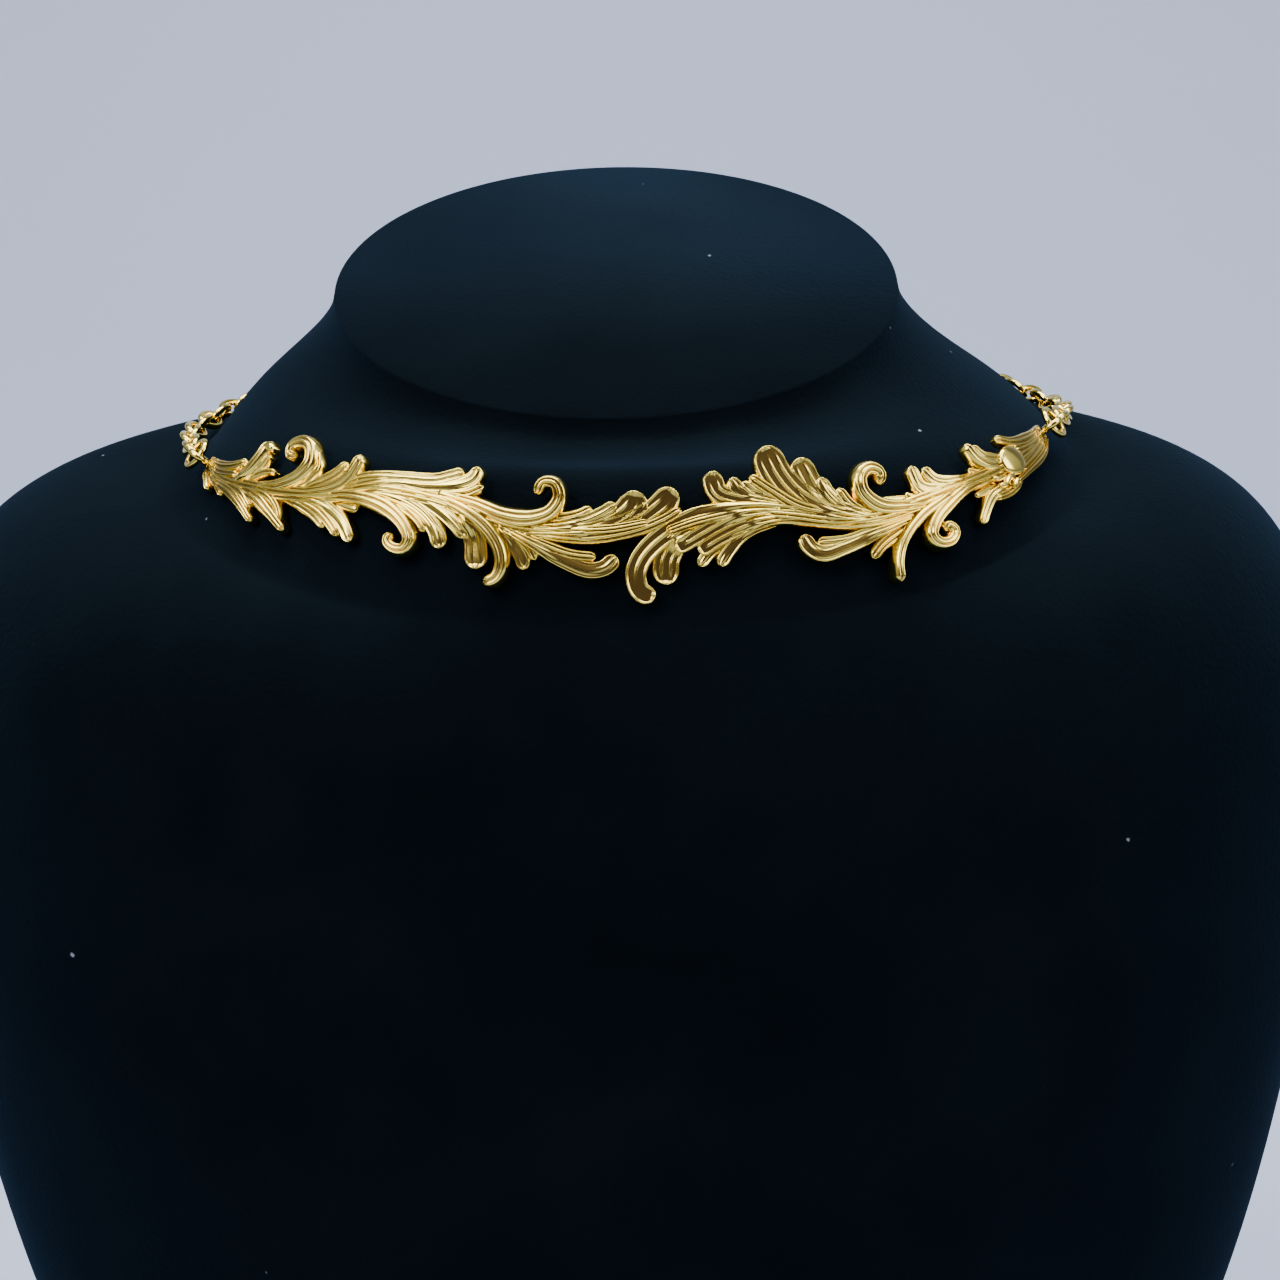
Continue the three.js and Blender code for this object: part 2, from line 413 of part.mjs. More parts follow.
// Where the wire pieces at one end of the plate lie along the loop, outwards from it.
function endStations(side) {
  const lug = COLLAR.length / 2 + LUG.outer / 2 - LUG.wire;
  const ring = lug + (RING.outer - RING.wire) / 2;
  const link = ring + RING.outer / 2 - RING.wire - TOUCH_GAP - LINK.wire / 2;
  return { lug: side * lug, ring: side * ring, link: side * link };
}

// The way up the neck, in millimetres, at which the wire pieces run: it sinks from the end
// of the plate to the loop a third of the way round to the nape.
function wireRow(along) {
  const share = (Math.abs(along) - COLLAR.length / 2) / (NAPE - COLLAR.length / 2);
  return rowAt(lerp(along > 0 ? END_ROW.right : END_ROW.left, 0, smoothstep(share * 3, 0, 1)));
}
const wirePoint = (along) => onNeck(along, wireRow(along), CHAIN_STAND_OFF);

// The lug at an end of the plate: a small ring that stands on edge, joined to the plate.
function lug(side) {
  const at = endStations(side).lug;
  const { tangent, out } = frameAt(at);
  const radius = (LUG.outer - LUG.wire) / 2;
  return wireOval(wirePoint(at), tangent, out, radius, radius, LUG.wire,
    { around: SIDES.ring, section: SIDES.ringWire });
}

// The whole cast plate.
function collarPlate() {
  const strokes = STROKES.map((row, i) => stroke(row, (i % LAYERS.count) * LAYERS.step));
  return wasm.Manifold.union([...strokes, dome(), lug(-1), lug(1)]);
}

// The jump ring that joins a lug to the chain. It lies flat along the neck.
function jumpRing(side) {
  const at = endStations(side).ring;
  const { tangent, up } = frameAt(at);
  const radius = (RING.outer - RING.wire) / 2;
  return wireOval(wirePoint(at), tangent, up, radius, radius, RING.wire,
    { around: SIDES.ring, section: SIDES.ringWire });
}

// Places along the loop at equal distances on the chain's own line, an odd number of
// links apart, so that the first and last link both stand across the pieces they hold.
function chainStops(from, to, pitch) {
  const fine = 600;
  const places = Array.from({ length: fine + 1 }, (_, i) => lerp(from, to, i / fine));
  const lengths = [0];
  for (let i = 1; i <= fine; i++)
    lengths.push(lengths[i - 1] + wirePoint(places[i]).distanceTo(wirePoint(places[i - 1])));
  const count = 2 * Math.round((lengths[fine] / pitch - 1) / 2) + 1;
  return Array.from({ length: count + 1 }, (_, k) => {
    const wanted = (lengths[fine] * k) / count;
    const i = Math.max(1, lengths.findIndex((length) => length >= wanted - 1e-9));
    return lerp(places[i - 1], places[i], (wanted - lengths[i - 1]) / (lengths[i] - lengths[i - 1]));
  });
}

// A chain of oval links, every other one turned a quarter, fused into one body.
function chain(side) {
  const overlap = LINK.wire - JOIN_BITE; // between the middles of two touching wires
  const start = endStations(side).link + (side * overlap) / 2;
  const claspEnd = NAPE - CLASP.length / 2 + CLASP.bar + 2 * TOUCH_GAP + LINK.wire / 2;
  const stops = chainStops(start, side * (claspEnd - overlap / 2), LINK.length - 2 * LINK.wire);
  const links = [];
  for (let k = 0; k + 1 < stops.length; k++) {
    const [from, to] = [wirePoint(stops[k]), wirePoint(stops[k + 1])];
    const x = to.clone().sub(from).normalize();
    const { out } = frameAt((stops[k] + stops[k + 1]) / 2);
    const flat = out.clone().cross(x).normalize();
    const y = k % 2 ? flat : x.clone().cross(flat);
    links.push(wireOval(from.clone().lerp(to, 0.5), x, y, (from.distanceTo(to) + overlap) / 2,
      (LINK.width - LINK.wire) / 2, LINK.wire, { around: SIDES.link, section: SIDES.linkWire }));
  }
  return wasm.Manifold.union(links);
}

// An oval plate with an oval hole, as wide a bar all round, from one x to another.
function linkPlate(from, to, width) {
  const [middle, half] = [(from + to) / 2, (to - from) / 2];
  const shape = new THREE.Shape().absellipse(middle, 0, half, width / 2, 0, 2 * Math.PI);
  shape.holes.push(new THREE.Path().absellipse(
    middle, 0, half - CLASP.bar, width / 2 - CLASP.bar, 0, 2 * Math.PI));
  const plate = new THREE.ExtrudeGeometry(shape, {
    depth: LINK.wire, bevelEnabled: false, curveSegments: SIDES.clasp,
  });
  return plate.translate(0, 0, -LINK.wire / 2);
}

// The clasp at the nape, closed: a round eye for one chain and an oval catch for the other.
// It is as thick as the links' wire, and lies straight between its two ends.
function clasp() {
  const half = CLASP.length / 2;
  const middle = wirePoint(NAPE - half).lerp(wirePoint(half - NAPE), 0.5);
  const { tangent, up, out } = frameAt(NAPE);
  const place = new THREE.Matrix4().makeBasis(tangent, up, out).setPosition(middle);
  const eye = solidOf(linkPlate(-half, -half + CLASP.eyeWidth, CLASP.eyeWidth), place);
  const hook = solidOf(linkPlate(-half + CLASP.eyeWidth - CLASP.bar, half, CLASP.width), place);
  return wasm.Manifold.union([eye, hook]);
}

// One point of a ring of the bust from a row of its sizes. Heights run evenly from front
// to back, and bulge where the side isn't half way between them.
function bustPoint(angle, { side, front, back, zFront, zSide, zBack, square }) {
  const power = (value) => Math.sign(value) * Math.abs(value) ** (2 / square);
  const toFront = Math.cos(angle);
  const tilt = ((zFront - zBack) / 2) * toFront;
  const bulge = ((zFront + zBack) / 2 - zSide) * toFront * toFront;
  const y = -(toFront > 0 ? front : back) * power(toFront);
  return new THREE.Vector3(side * power(Math.sin(angle)), y, LOOP.height + zSide + tilt + bulge);
}

// The velvet bust: a neck with a slanted cap, the collar's seat, and a torso to its foot.
function neckBust() {
  const angles = Array.from({ length: SIDES.bust }, (_, i) => (2 * Math.PI * i) / SIDES.bust);
  const neck = NECK_SECTIONS.map((row) => angles.map((angle) => bustPoint(angle, {
    side: row.side * LOOP.halfWidth, front: row.front * LOOP.halfDepth, back: row.back * LOOP.halfDepth,
    zFront: row.zFront * BUST.neck, zSide: row.zSide * BUST.neck, zBack: row.zBack * BUST.neck, square: 2,
  })));
  const seat = SEAT_SECTIONS.map((row) => angles.map((angle) => {
    const { point, up, out } = frameAtAngle(angle);
    const end = Math.cos(angle) > 0 ? row.front : row.back;
    const rise = lerp(end, row.side, Math.sin(angle) ** 4) * COLLAR.height;
    return point.addScaledVector(up, rise).addScaledVector(out, -TOUCH_GAP);
  }));
  const torso = TORSO_SECTIONS.map((row) => angles.map((angle) => bustPoint(angle, {
    side: lerp(LOOP.halfWidth, BUST.halfWidth, row.side),
    front: lerp(LOOP.halfDepth, BUST.halfDepth, row.front),
    back: lerp(LOOP.halfDepth, BUST.halfDepth, row.back),
    zFront: row.zFront * LOOP.height, zSide: row.zSide * LOOP.height, zBack: row.zBack * LOOP.height,
    square: row.square,
  })));
  return loft([...neck, ...seat, ...torso].reverse());
}

// A named mesh of the group from a solid.
const group = new THREE.Group();
function add(name, solid, material) {
  const { vertProperties, triVerts } = solid.getMesh();
  const geometry = new THREE.BufferGeometry();
  geometry.setAttribute("position", new THREE.BufferAttribute(vertProperties, 3));
  geometry.setIndex(new THREE.BufferAttribute(triVerts, 1));
  const mesh = new THREE.Mesh(geometry, material);
  mesh.name = name;
  group.add(mesh);
}

add("neck_bust", neckBust(), VELVET);
add("collar_plate", collarPlate(), GOLD);
for (const [name, side] of [["left", -1], ["right", 1]]) {
  add(`jump_ring_${name}`, jumpRing(side), CHAIN_GOLD);
  add(`chain_${name}`, chain(side), CHAIN_GOLD);
}
add("clasp", clasp(), CHAIN_GOLD);

export default group;
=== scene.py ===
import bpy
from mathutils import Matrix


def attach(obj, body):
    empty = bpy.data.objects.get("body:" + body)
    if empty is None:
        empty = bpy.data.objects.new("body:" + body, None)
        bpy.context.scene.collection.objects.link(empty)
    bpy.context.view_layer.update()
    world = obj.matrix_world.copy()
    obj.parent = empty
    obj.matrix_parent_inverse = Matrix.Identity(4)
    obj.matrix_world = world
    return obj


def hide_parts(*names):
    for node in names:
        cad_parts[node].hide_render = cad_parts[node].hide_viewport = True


bl_info = {
    "name": "Collar choker on a neck bust",
    "version": (1, 0, 0),
    "blender": (4, 5, 0),
    "location": "3D View > Sidebar > Choker",
    "description": "Builds a cast collar choker of leaves and scrolls, its chain and the velvet "
                   "neck bust that wears it",
    "category": "Add Mesh",
}

from collections import namedtuple

import bpy
import numpy as np
from mathutils import Matrix

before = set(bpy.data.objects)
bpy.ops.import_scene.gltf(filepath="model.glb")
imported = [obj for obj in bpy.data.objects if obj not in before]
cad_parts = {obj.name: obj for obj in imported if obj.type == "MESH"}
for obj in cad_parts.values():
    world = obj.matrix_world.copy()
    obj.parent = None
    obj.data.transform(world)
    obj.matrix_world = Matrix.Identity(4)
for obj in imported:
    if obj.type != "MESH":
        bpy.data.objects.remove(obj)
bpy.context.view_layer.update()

MM = 0.001  # shapes are worked out in millimetres and put into meshes in metres

# The loop that the collar and its chain follow: an oval that climbs towards the nape. The
# neck leans in from it by these angles at the front and at the side.
LOOP_HALF_WIDTH, LOOP_HALF_DEPTH, LOOP_ASIDE, LOOP_HEIGHT = 59.0, 48.0, 1.7, 170.0
LOOP_SLOPE, LOOP_BEND = 0.16, 0.0013
LEAN_FRONT, LEAN_SIDE = 12.0, 38.0
TOUCH_GAP = 0.3  # between pieces that touch on the real thing

PLATE_LENGTH = 140.0
END_ROW = {-1: 2.2, 1: 5.0}  # how far up the neck the plate's two ends lie
LUG = {"outer": 3.4, "wire": 0.9}
RING = {"outer": 4.8, "wire": 0.85}
LINK = {"length": 5.2, "width": 3.5, "wire": 0.9}
LINK_BITE = 0.05  # how far a link's wire sinks into the next link's
CHAIN_STAND_OFF = 2.2  # from the neck to the middle of the chain's wire
CLASP = {"length": 12.0, "width": 5.6, "bar": 1.1, "eye": 4.0}

BUST_HALF_WIDTH, BUST_HALF_DEPTH, NECK_HEIGHT, SEAT_HEIGHT = 97.5, 56.0, 37.0, 20.0

# Sections of the neck, as shares of the loop's half sizes and of the neck's height. The last
# column is the power of the oval: 2 is an ellipse, and more is squarer.
Section = namedtuple("Section", "side front back z_front z_side z_back square")
NECK_SECTIONS = [
    Section(0.644, 0.688, 0.771, 0.2, 0.6, 1, 2),
    Section(0.658, 0.7, 0.779, 0.13, 0.5, 0.9, 2),
    Section(0.714, 0.765, 0.817, 0.085, 0.385, 0.74, 2),
    Section(0.819, 0.862, 0.892, 0.06, 0.275, 0.53, 2),
]
# The collar's seat: how far up the neck its rings lie, as shares of the seat's height.
SeatRing = namedtuple("SeatRing", "front side back")
SEAT_RINGS = [SeatRing(0.3, 0.32, 0.3), SeatRing(-0.55, -0.075, -0.15)]
# Sections of the torso, as shares of the way from the loop out to the bust's half sizes and
# of the drop from the collar to the foot.
TORSO_SECTIONS = [
    Section(0.15, 0.4, 0.3, -0.1, -0.006, 0.035, 2),
    Section(0.38, 0.65, 0.69, -0.135, -0.008, -0.012, 2.05),
    Section(0.595, 0.86, 0.9, -0.18, -0.026, -0.085, 2.1),
    Section(0.785, 0.96, 1, -0.25, -0.062, -0.17, 2.15),
    Section(0.925, 1, 0.9, -0.335, -0.13, -0.27, 2.2),
    Section(1, 0.9, 0.58, -0.43, -0.25, -0.385, 2.25),
    Section(0.925, 0.65, 0.16, -0.54, -0.395, -0.505, 2.3),
    Section(0.81, 0.26, -0.26, -0.655, -0.54, -0.63, 2.3),
    Section(0.645, -0.22, -0.68, -0.77, -0.685, -0.75, 2.3),
    Section(0.38, -0.75, -1.1, -0.885, -0.835, -0.875, 2.3),
    Section(0.1, -1.2, -1.4, -1, -1, -1, 2.3),
]

# Strokes of the ornament, which are its stems, scrolls, hooks and the lobes of its leaves: a path
# along and up the neck, half widths at the root, belly and tip, the share of the relief that the
# crest rises to, how many ribs it has, and how far its rim stands up. Lobes with the same number
# are one leaf, which has one rim round them all.
Stroke = namedtuple("Stroke", "path root belly tip crest ribs rim leaf", defaults=(0,))
STROKES = [
    # The two stems, from the plate's ends to its middle.
    Stroke([(-69.5, 2.3), (-62, 1.6), (-54, 1.8), (-46, 2.1), (-38, 2.9), (-31, 3.9), (-25, 3.3), (-20, 2),
            (-15, 0.6), (-9, -0.2), (-3, -0.2), (2, 0.6)], 1, 1.3, 0.8, 0.8, 4, 0),
    Stroke([(69.5, 4.8), (62, 4), (55, 3.1), (49, 2.4), (43, 1.7), (37, 0.7), (31, -0.3), (25, -0.4),
            (19, 0.7), (13, 1.4), (8, 0.7), (4, -0.5)], 1, 1.3, 0.8, 0.8, 4, 0),
    # The left end.
    Stroke([(-69.5, 3), (-64, 3.1), (-60.8, 3.8), (-58.3, 4.8)], 0.5, 0.9, 0.7, 0.75, 3, 0),
    Stroke([(-69, 2.2), (-64, 2.2), (-59.2, 2.8)], 0.5, 0.7, 0.6, 0.7, 2, 0),
    Stroke([(-69.5, 1.3), (-67, 0.5), (-64.8, -0.6)], 0.5, 0.6, 0.45, 0.65, 2, 0),
    Stroke([(-68, 1.4), (-63.5, 0.6), (-60.5, -0.5)], 0.5, 0.6, 0.4, 0.65, 2, 0),
    Stroke([(-65, 0.9), (-58.5, 0.3), (-54.8, -0.9), (-51.6, -2.5)], 0.5, 1, 0.55, 0.8, 3, 0),
    Stroke([(-62, 1.3), (-56, 0.7), (-52.9, -0.8)], 0.5, 0.7, 0.45, 0.75, 2, 0),
    Stroke([(-58, 1.4), (-52.4, 0.5), (-49, -0.9), (-45.6, -2.7)], 0.5, 1.1, 0.65, 0.8, 3, 0),
    Stroke([(-56, 2), (-50.4, 1.3), (-47.8, -0.1), (-46.7, -1.4)], 0.5, 0.8, 0.45, 0.75, 3, 0),
    Stroke([(-59, 2), (-56.6, 3.6), (-55.4, 5.8), (-54.8, 8.1)], 0.8, 1.2, 1.15, 0.9, 2, 0),
    Stroke([(-55.6, 6.4), (-54.2, 7.6), (-52.9, 7)], 0.6, 0.85, 0.5, 0.85, 1, 0),
    Stroke([(-57, 2.6), (-53.4, 4.1), (-51.2, 4.5)], 0.8, 0.7, 0.5, 0.6, 2, 0),
    Stroke([(-56, 3.4), (-54.4, 4.8), (-53.2, 6.4)], 0.8, 0.8, 0.3, 0.7, 2, 0),
    # The first scroll, and the leaves on both sides of it.
    Stroke([(-53, 2.3), (-48.5, 3), (-45.5, 4.6), (-44.4, 6.6), (-45.3, 8.4), (-47.2, 8.9), (-48.9, 8.1),
            (-48.7, 7), (-47.4, 6.9)], 0.7, 1.35, 0.8, 1, 3, 0),
    Stroke([(-48, 2.8), (-44.4, 4), (-42.9, 6), (-43.8, 8)], 0.5, 0.8, 0.4, 0.65, 2, 0),
    Stroke([(-46, 2.4), (-40.5, 3.2), (-37.6, 4.8), (-36.6, 6.4), (-36, 8.1)], 0.5, 1.05, 1.1, 0.9, 3, 0),
    Stroke([(-45, 2.8), (-41.5, 4.3), (-39.4, 5.5), (-38, 6.9)], 0.5, 1, 0.9, 0.8, 3, 0),
    Stroke([(-44, 2.2), (-39, 2.8), (-36.5, 3.9), (-35.7, 5.6)], 0.5, 0.7, 0.5, 0.7, 2, 0),
    Stroke([(-48, 1.4), (-44, 0.6), (-41.6, -0.3), (-39.6, -1.5)], 0.4, 0.8, 0.7, 0.7, 2, 0),
    Stroke([(-47, 1.7), (-42, 0.8), (-39.2, -0.6), (-37.2, -2.3)], 0.4, 0.9, 0.85, 0.75, 3, 0),
    Stroke([(-46, 2), (-40.5, 1.3), (-37.2, -0.4), (-35.3, -2.9)], 0.4, 1, 1, 0.8, 3, 0.4),
    Stroke([(-46, 2), (-40, 1.9), (-35.4, 1.3)], 0.5, 0.8, 0.6, 0.42, 1, 0),
    # The long leaf of the left half, with the scroll below it.
    Stroke([(-40, 3.4), (-34.8, 5.4), (-29, 5.7), (-24.6, 5.7), (-22.6, 6.2), (-20.9, 6.7)],
           0.6, 0.9, 0.9, 0.85, 3, 0.3),
    Stroke([(-40, 3), (-32, 4.9), (-25, 4.9), (-21.4, 5.2), (-19.6, 6), (-19, 7.4)],
           0.5, 1, 1.15, 0.85, 3, 0.4),
    Stroke([(-32, 4), (-24, 3.9), (-20.4, 4.1), (-18.3, 5)], 0.5, 0.8, 0.7, 0.7, 2, 0),
    Stroke([(-28, 3.4), (-22, 3.2), (-18.7, 3.3)], 0.5, 0.6, 0.5, 0.45, 1, 0),
    Stroke([(-42, 2.3), (-36, 2.7), (-31.5, 1.9), (-28.6, 0.2), (-27.2, -1.8), (-27.7, -3.1), (-29, -3.2),
            (-30, -2.4), (-29.6, -1.3)], 0.6, 1.35, 0.8, 1, 3, 0),
    Stroke([(-38, 3), (-31, 3.3), (-26.6, 1.8), (-24.2, -0.4), (-23.2, -2.8)],
           0.5, 1.15, 1.25, 0.85, 3, 0.5),
    Stroke([(-38, 3.4), (-29, 4.2), (-24.4, 2.3), (-21.8, 0.5), (-20, -1.3)], 0.5, 1.1, 1.1, 0.85, 3, 0.4),
    Stroke([(-36, 2.6), (-30, 2.4), (-26.7, 0.6), (-25.4, -0.9)], 0.4, 0.8, 0.65, 0.75, 2, 0),
    Stroke([(-22, 2.4), (-20, 0.4), (-19, -2), (-18.7, -5.1)], 0.6, 1.4, 1.65, 0.8, 3, 0.8),
    Stroke([(-26, 3.8), (-21.4, 2.5), (-18, 0.4), (-15.9, -2.3), (-15.5, -4.6), (-16.2, -6.2), (-17.7, -6.8)],
           0.5, 1.15, 1, 1, 2, 0),
    Stroke([(-17, 1), (-14.6, -1.6), (-13.4, -3.2), (-12.7, -5)], 0.4, 0.95, 1, 0.7, 3, 0.4),
    Stroke([(-16, 0.6), (-13.6, -1.2), (-12.3, -2.4), (-11.5, -3.8)], 0.4, 0.85, 0.8, 0.65, 2, 0),
    Stroke([(-24, 4), (-19, 2.8), (-15.5, 1.5), (-12.3, 1.2), (-9.8, 2.1), (-8.7, 4), (-9.3, 5.5),
            (-10.8, 5.6), (-11.5, 4.1)], 0.7, 1.35, 0.8, 1, 3, 0),
    # The leaves that meet in the middle, on the left.
    Stroke([(-13, 0.8), (-9, 1.2), (-6.4, 1.7), (-4.8, 2.5)], 0.6, 0.9, 0.85, 0.6, 3, 0),
    Stroke([(-12, 0.5), (-6.5, 0.8), (-4, 1.7), (-1.9, 3)], 0.4, 1, 0.95, 0.75, 3, 0.3, 1),
    Stroke([(-13, 0), (-5, 0.2), (-1.3, 1.6), (0.1, 3), (0.5, 4.6)], 0.5, 1.5, 2, 0.9, 3, 1, 1),
    Stroke([(-13, -0.5), (-4, -0.4), (1, 1), (3.6, 2.8), (5.3, 4.6)], 0.5, 1.4, 1.85, 0.9, 3, 1, 1),
    Stroke([(-14, -0.3), (-6, -1.2), (0, -0.4), (3.6, 0.9), (5.9, 2.2)], 0.5, 0.9, 0.8, 0.75, 3, 0),
    Stroke([(-17, 0.8), (-12, -1.8), (-8.3, -3.8), (-5.2, -5), (-3.3, -4.7), (-1.9, -3.3)],
           0.5, 1.05, 1.2, 0.85, 3, 0.4),
    Stroke([(-14, -0.2), (-10.5, -1.9), (-7.5, -3), (-4.3, -3.4)], 0.4, 0.8, 0.75, 0.75, 3, 0),
    Stroke([(-12, -1.6), (-8.5, -3.2), (-5, -4)], 0.5, 0.7, 0.5, 0.5, 1, 0),
    # The leaves that meet in the middle, on the right.
    Stroke([(22, 1.2), (14, 1.9), (8, 1.1), (3.6, -1), (1, -3.6), (0.3, -5.8), (0.9, -7.7), (2.6, -8.4)],
           0.6, 1.5, 1.3, 0.95, 2, 1),
    Stroke([(8.4, 0.2), (5.4, -1.7), (4.1, -3.8), (3.8, -6.9)], 1, 1.6, 1.7, 0.75, 3, 1),
    Stroke([(18, 1.6), (12, 0.9), (8.4, -0.8), (5, -2.7)], 0.5, 1.15, 1.1, 1.05, 2, 0.9),
    Stroke([(19, 0.7), (14, -0.1), (10.6, -1.4), (7.7, -3.1)], 0.5, 1.05, 1.1, 1, 2, 0.9),
    Stroke([(16, 0.1), (11.6, -1.5), (9.2, -3.1), (7.8, -4.8)], 0.4, 0.9, 0.9, 0.7, 3, 0.4),
    Stroke([(18, 0), (13.4, -1.2), (11.5, -3), (10.2, -4.9)], 0.4, 0.9, 0.95, 0.75, 3, 0.4),
    Stroke([(19, 2.2), (13.4, 3), (10.4, 4.2), (9.8, 6.7)], 0.5, 1.3, 1.5, 0.8, 3, 0.7, 3),
    Stroke([(19, 2.3), (15, 3.3), (13, 4.3), (12.2, 5.8)], 0.5, 1, 1.05, 0.75, 3, 0.4, 3),
    Stroke([(19.5, 2), (16.6, 3), (14.8, 4), (13.6, 5.2)], 0.5, 0.9, 0.85, 0.65, 2, 0),
    Stroke([(20, 1.6), (14.5, 2.6), (9.6, 3.2)], 0.6, 0.8, 0.5, 0.45, 1, 0),
    Stroke([(31, -0.8), (24, 0.6), (20, 3.2), (17.9, 6), (16.6, 9.4)], 0.5, 2, 2.3, 0.95, 4, 1, 4),
    Stroke([(28, 0), (20.6, 1.6), (17.2, 3.8), (14.5, 5.8)], 0.5, 1.1, 0.9, 0.75, 3, 0, 4),
    Stroke([(31.5, -0.7), (25.6, 1.1), (22.6, 3.8), (20.9, 7.7)], 0.5, 1.7, 1.9, 0.9, 3, 1, 4),
    Stroke([(32, -0.6), (27, 0.8), (24.6, 2.8), (23.4, 5.1)], 0.4, 1.2, 1.15, 0.8, 3, 0.5, 4),
    Stroke([(32.5, -0.6), (28.6, 0.4), (26.9, 1.8), (25.8, 3.6)], 0.4, 1, 0.95, 0.7, 3, 0),
    Stroke([(36, -0.4), (29, -1.2), (23, -0.5), (18, 0.1), (14, -0.4)], 0.5, 0.8, 0.5, 0.75, 2, 0),
    # The scrolls, hook and leaves of the right half.
    Stroke([(40, 0.8), (34.5, 0.4), (30.8, 1), (28.9, 3), (29.1, 4.9), (30.5, 5.7), (31.8, 5), (31.5, 3.5)],
           0.6, 1.35, 0.95, 1, 3, 0),
    Stroke([(38, 1.2), (34, 1.5), (30.8, 1.6)], 0.5, 0.6, 0.5, 0.42, 1, 0),
    Stroke([(37, -0.7), (30.5, -2.3), (25.5, -3.8), (22.8, -4.3), (21.3, -3.4), (20.5, -1.7)],
           0.4, 1, 1.2, 0.85, 3, 0.5),
    Stroke([(36, -0.8), (30, -1.9), (26, -2.8), (22.3, -2.8)], 0.35, 0.8, 0.8, 0.75, 3, 0.3),
    Stroke([(37, -1.2), (32.8, -2.8), (30.7, -3.9), (29.1, -5.4)], 0.4, 1, 0.8, 0.6, 3, 0),
    Stroke([(46, 2.3), (40, 0.4), (36, -1.4), (33.3, -3.8), (32.1, -6.2), (31.8, -8.9)],
           0.5, 0.9, 0.8, 1, 2, 0),
    Stroke([(47, 2.6), (40.6, 1.8), (37.7, 2.6), (36.9, 5.4)], 0.5, 1.15, 1.15, 0.8, 3, 0.4),
    Stroke([(47, 2.9), (42.6, 2.7), (40.2, 3.3), (38.8, 4.9)], 0.4, 1, 1, 0.75, 3, 0.3),
    Stroke([(42, 1.4), (38, 1.1), (35.2, 2)], 0.5, 0.6, 0.4, 0.55, 1, 0),
    Stroke([(50, 2.3), (44.5, 1.3), (40.8, -0.3), (38.3, -2), (37.3, -3.7), (38.1, -4.8), (39.7, -4.8),
            (40.6, -3.7), (40, -2.9), (39.3, -3.3)], 0.5, 1.15, 0.85, 1, 3, 0),
    Stroke([(54, 3), (50.2, 3.9), (48.4, 5.1), (47.4, 7)], 0.6, 1.2, 0.9, 0.85, 2, 0),
    Stroke([(55, 4), (52, 4.5), (50.2, 5.1), (48.8, 6.6)], 0.6, 0.9, 0.6, 0.75, 2, 0),
    Stroke([(53, 2.4), (49, 3), (46.6, 3.7)], 0.6, 0.9, 0.4, 0.55, 2, 0),
    Stroke([(54, 1), (49, -0.3), (47.2, -1.6), (45.5, -3.4)], 0.6, 0.9, 0.75, 0.75, 3, 0.3),
    Stroke([(52, 1), (48.6, 0.6), (46.4, 0.3)], 0.6, 0.7, 0.4, 0.42, 1, 0),
    # The knot below the dome, and the right end.
    Stroke([(56, 0.8), (53.6, -0.1), (51.4, -0.6), (49.2, -0.7)], 0.6, 0.8, 0.6, 0.75, 3, 0),
    Stroke([(55, 1.6), (52.8, 1.3), (51.4, 0.6), (50.4, 0.8)], 0.5, 0.6, 0.4, 0.9, 1, 0),
    Stroke([(54.6, 0.9), (53.6, 0.6), (52.8, 0)], 0.4, 0.5, 0.4, 1, 1, 0),
    Stroke([(52.6, 1.9), (51, 1.6), (49.8, 1.9)], 0.4, 0.5, 0.4, 0.85, 1, 0),
    Stroke([(69.5, 5.8), (63, 5.5), (58, 5.8), (54.6, 6.8)], 0.5, 1, 0.7, 0.75, 3, 0),
    Stroke([(69.5, 5.3), (63, 4.6), (57.6, 4.6)], 0.6, 1, 0.8, 0.7, 3, 0),
    Stroke([(69.5, 4.5), (63, 3.2), (57, 2.1)], 0.6, 1, 0.8, 0.7, 3, 0),
    Stroke([(69.5, 3.9), (63.5, 2.4), (58.5, 1.5), (54.4, 0.6)], 0.5, 0.8, 0.5, 0.75, 3, 0),
]

# How finely a stroke is drawn: millimetres from row to row, columns to a rib, or more in a leaf or
# where the rim is high, rows round its tip, and what the last row keeps of the width squared.
ROW_STEP, RIB_COLUMNS, LEAF_COLUMNS, HIGH_RIM, TIP_ROWS, LAST_ROW = 0.4, 8, 12, 0.6, 8, 0.004
# Strokes overlap, so neighbours' soles lie at different heights.
SOLE_STEP, SOLE_LAYERS = 0.1, 4

# A stroke's profile: the powers of its arch and grooves, and then shares. The crest at the root and
# the arch at the tip each come with what is added further on. The outline's height is a share of
# the edge, the least height one of that, a rim's floor one of the crest, and a vein one of the
# dish. Each pair is where a change begins and ends: in millimetres inside the outline or from a
# vein's middle, in shares of the stroke's length, or in crest.
ARCH_POWER, GROOVE_POWER = 2.6, 2.5
ROOT_CREST, CREST_RISE, RISE_ALONG = 0.7, 0.3, (0, 0.35)
TIP_ARCH, ARCH_RISE = 0.35, 0.65
OUTLINE_HEIGHT, LEAST_HEIGHT, FLOOR_HEIGHT, VEIN_HEIGHT = 0.55, 0.6, 0.8, 0.5
GROOVE_INSIDE, GROOVE_ALONG = (0.0, 0.3), (0, 0.15)
RIM_INSIDE, RIM_ALONG = (0.2, 0.44), (0.25, 0.6)
VEIN_ACROSS, VEIN_ALONG = (0.17, 0.02), (0.95, 0.75)
# How much painted shade browns a floor inside a rim, and a low web between leaves: it stands for their shade
# and for the light the gold bounces into the webs.
FLOOR_SHADE, WEB_SHADE, WEB_CREST = 0.35, 0.25, (0.7, 0.4)
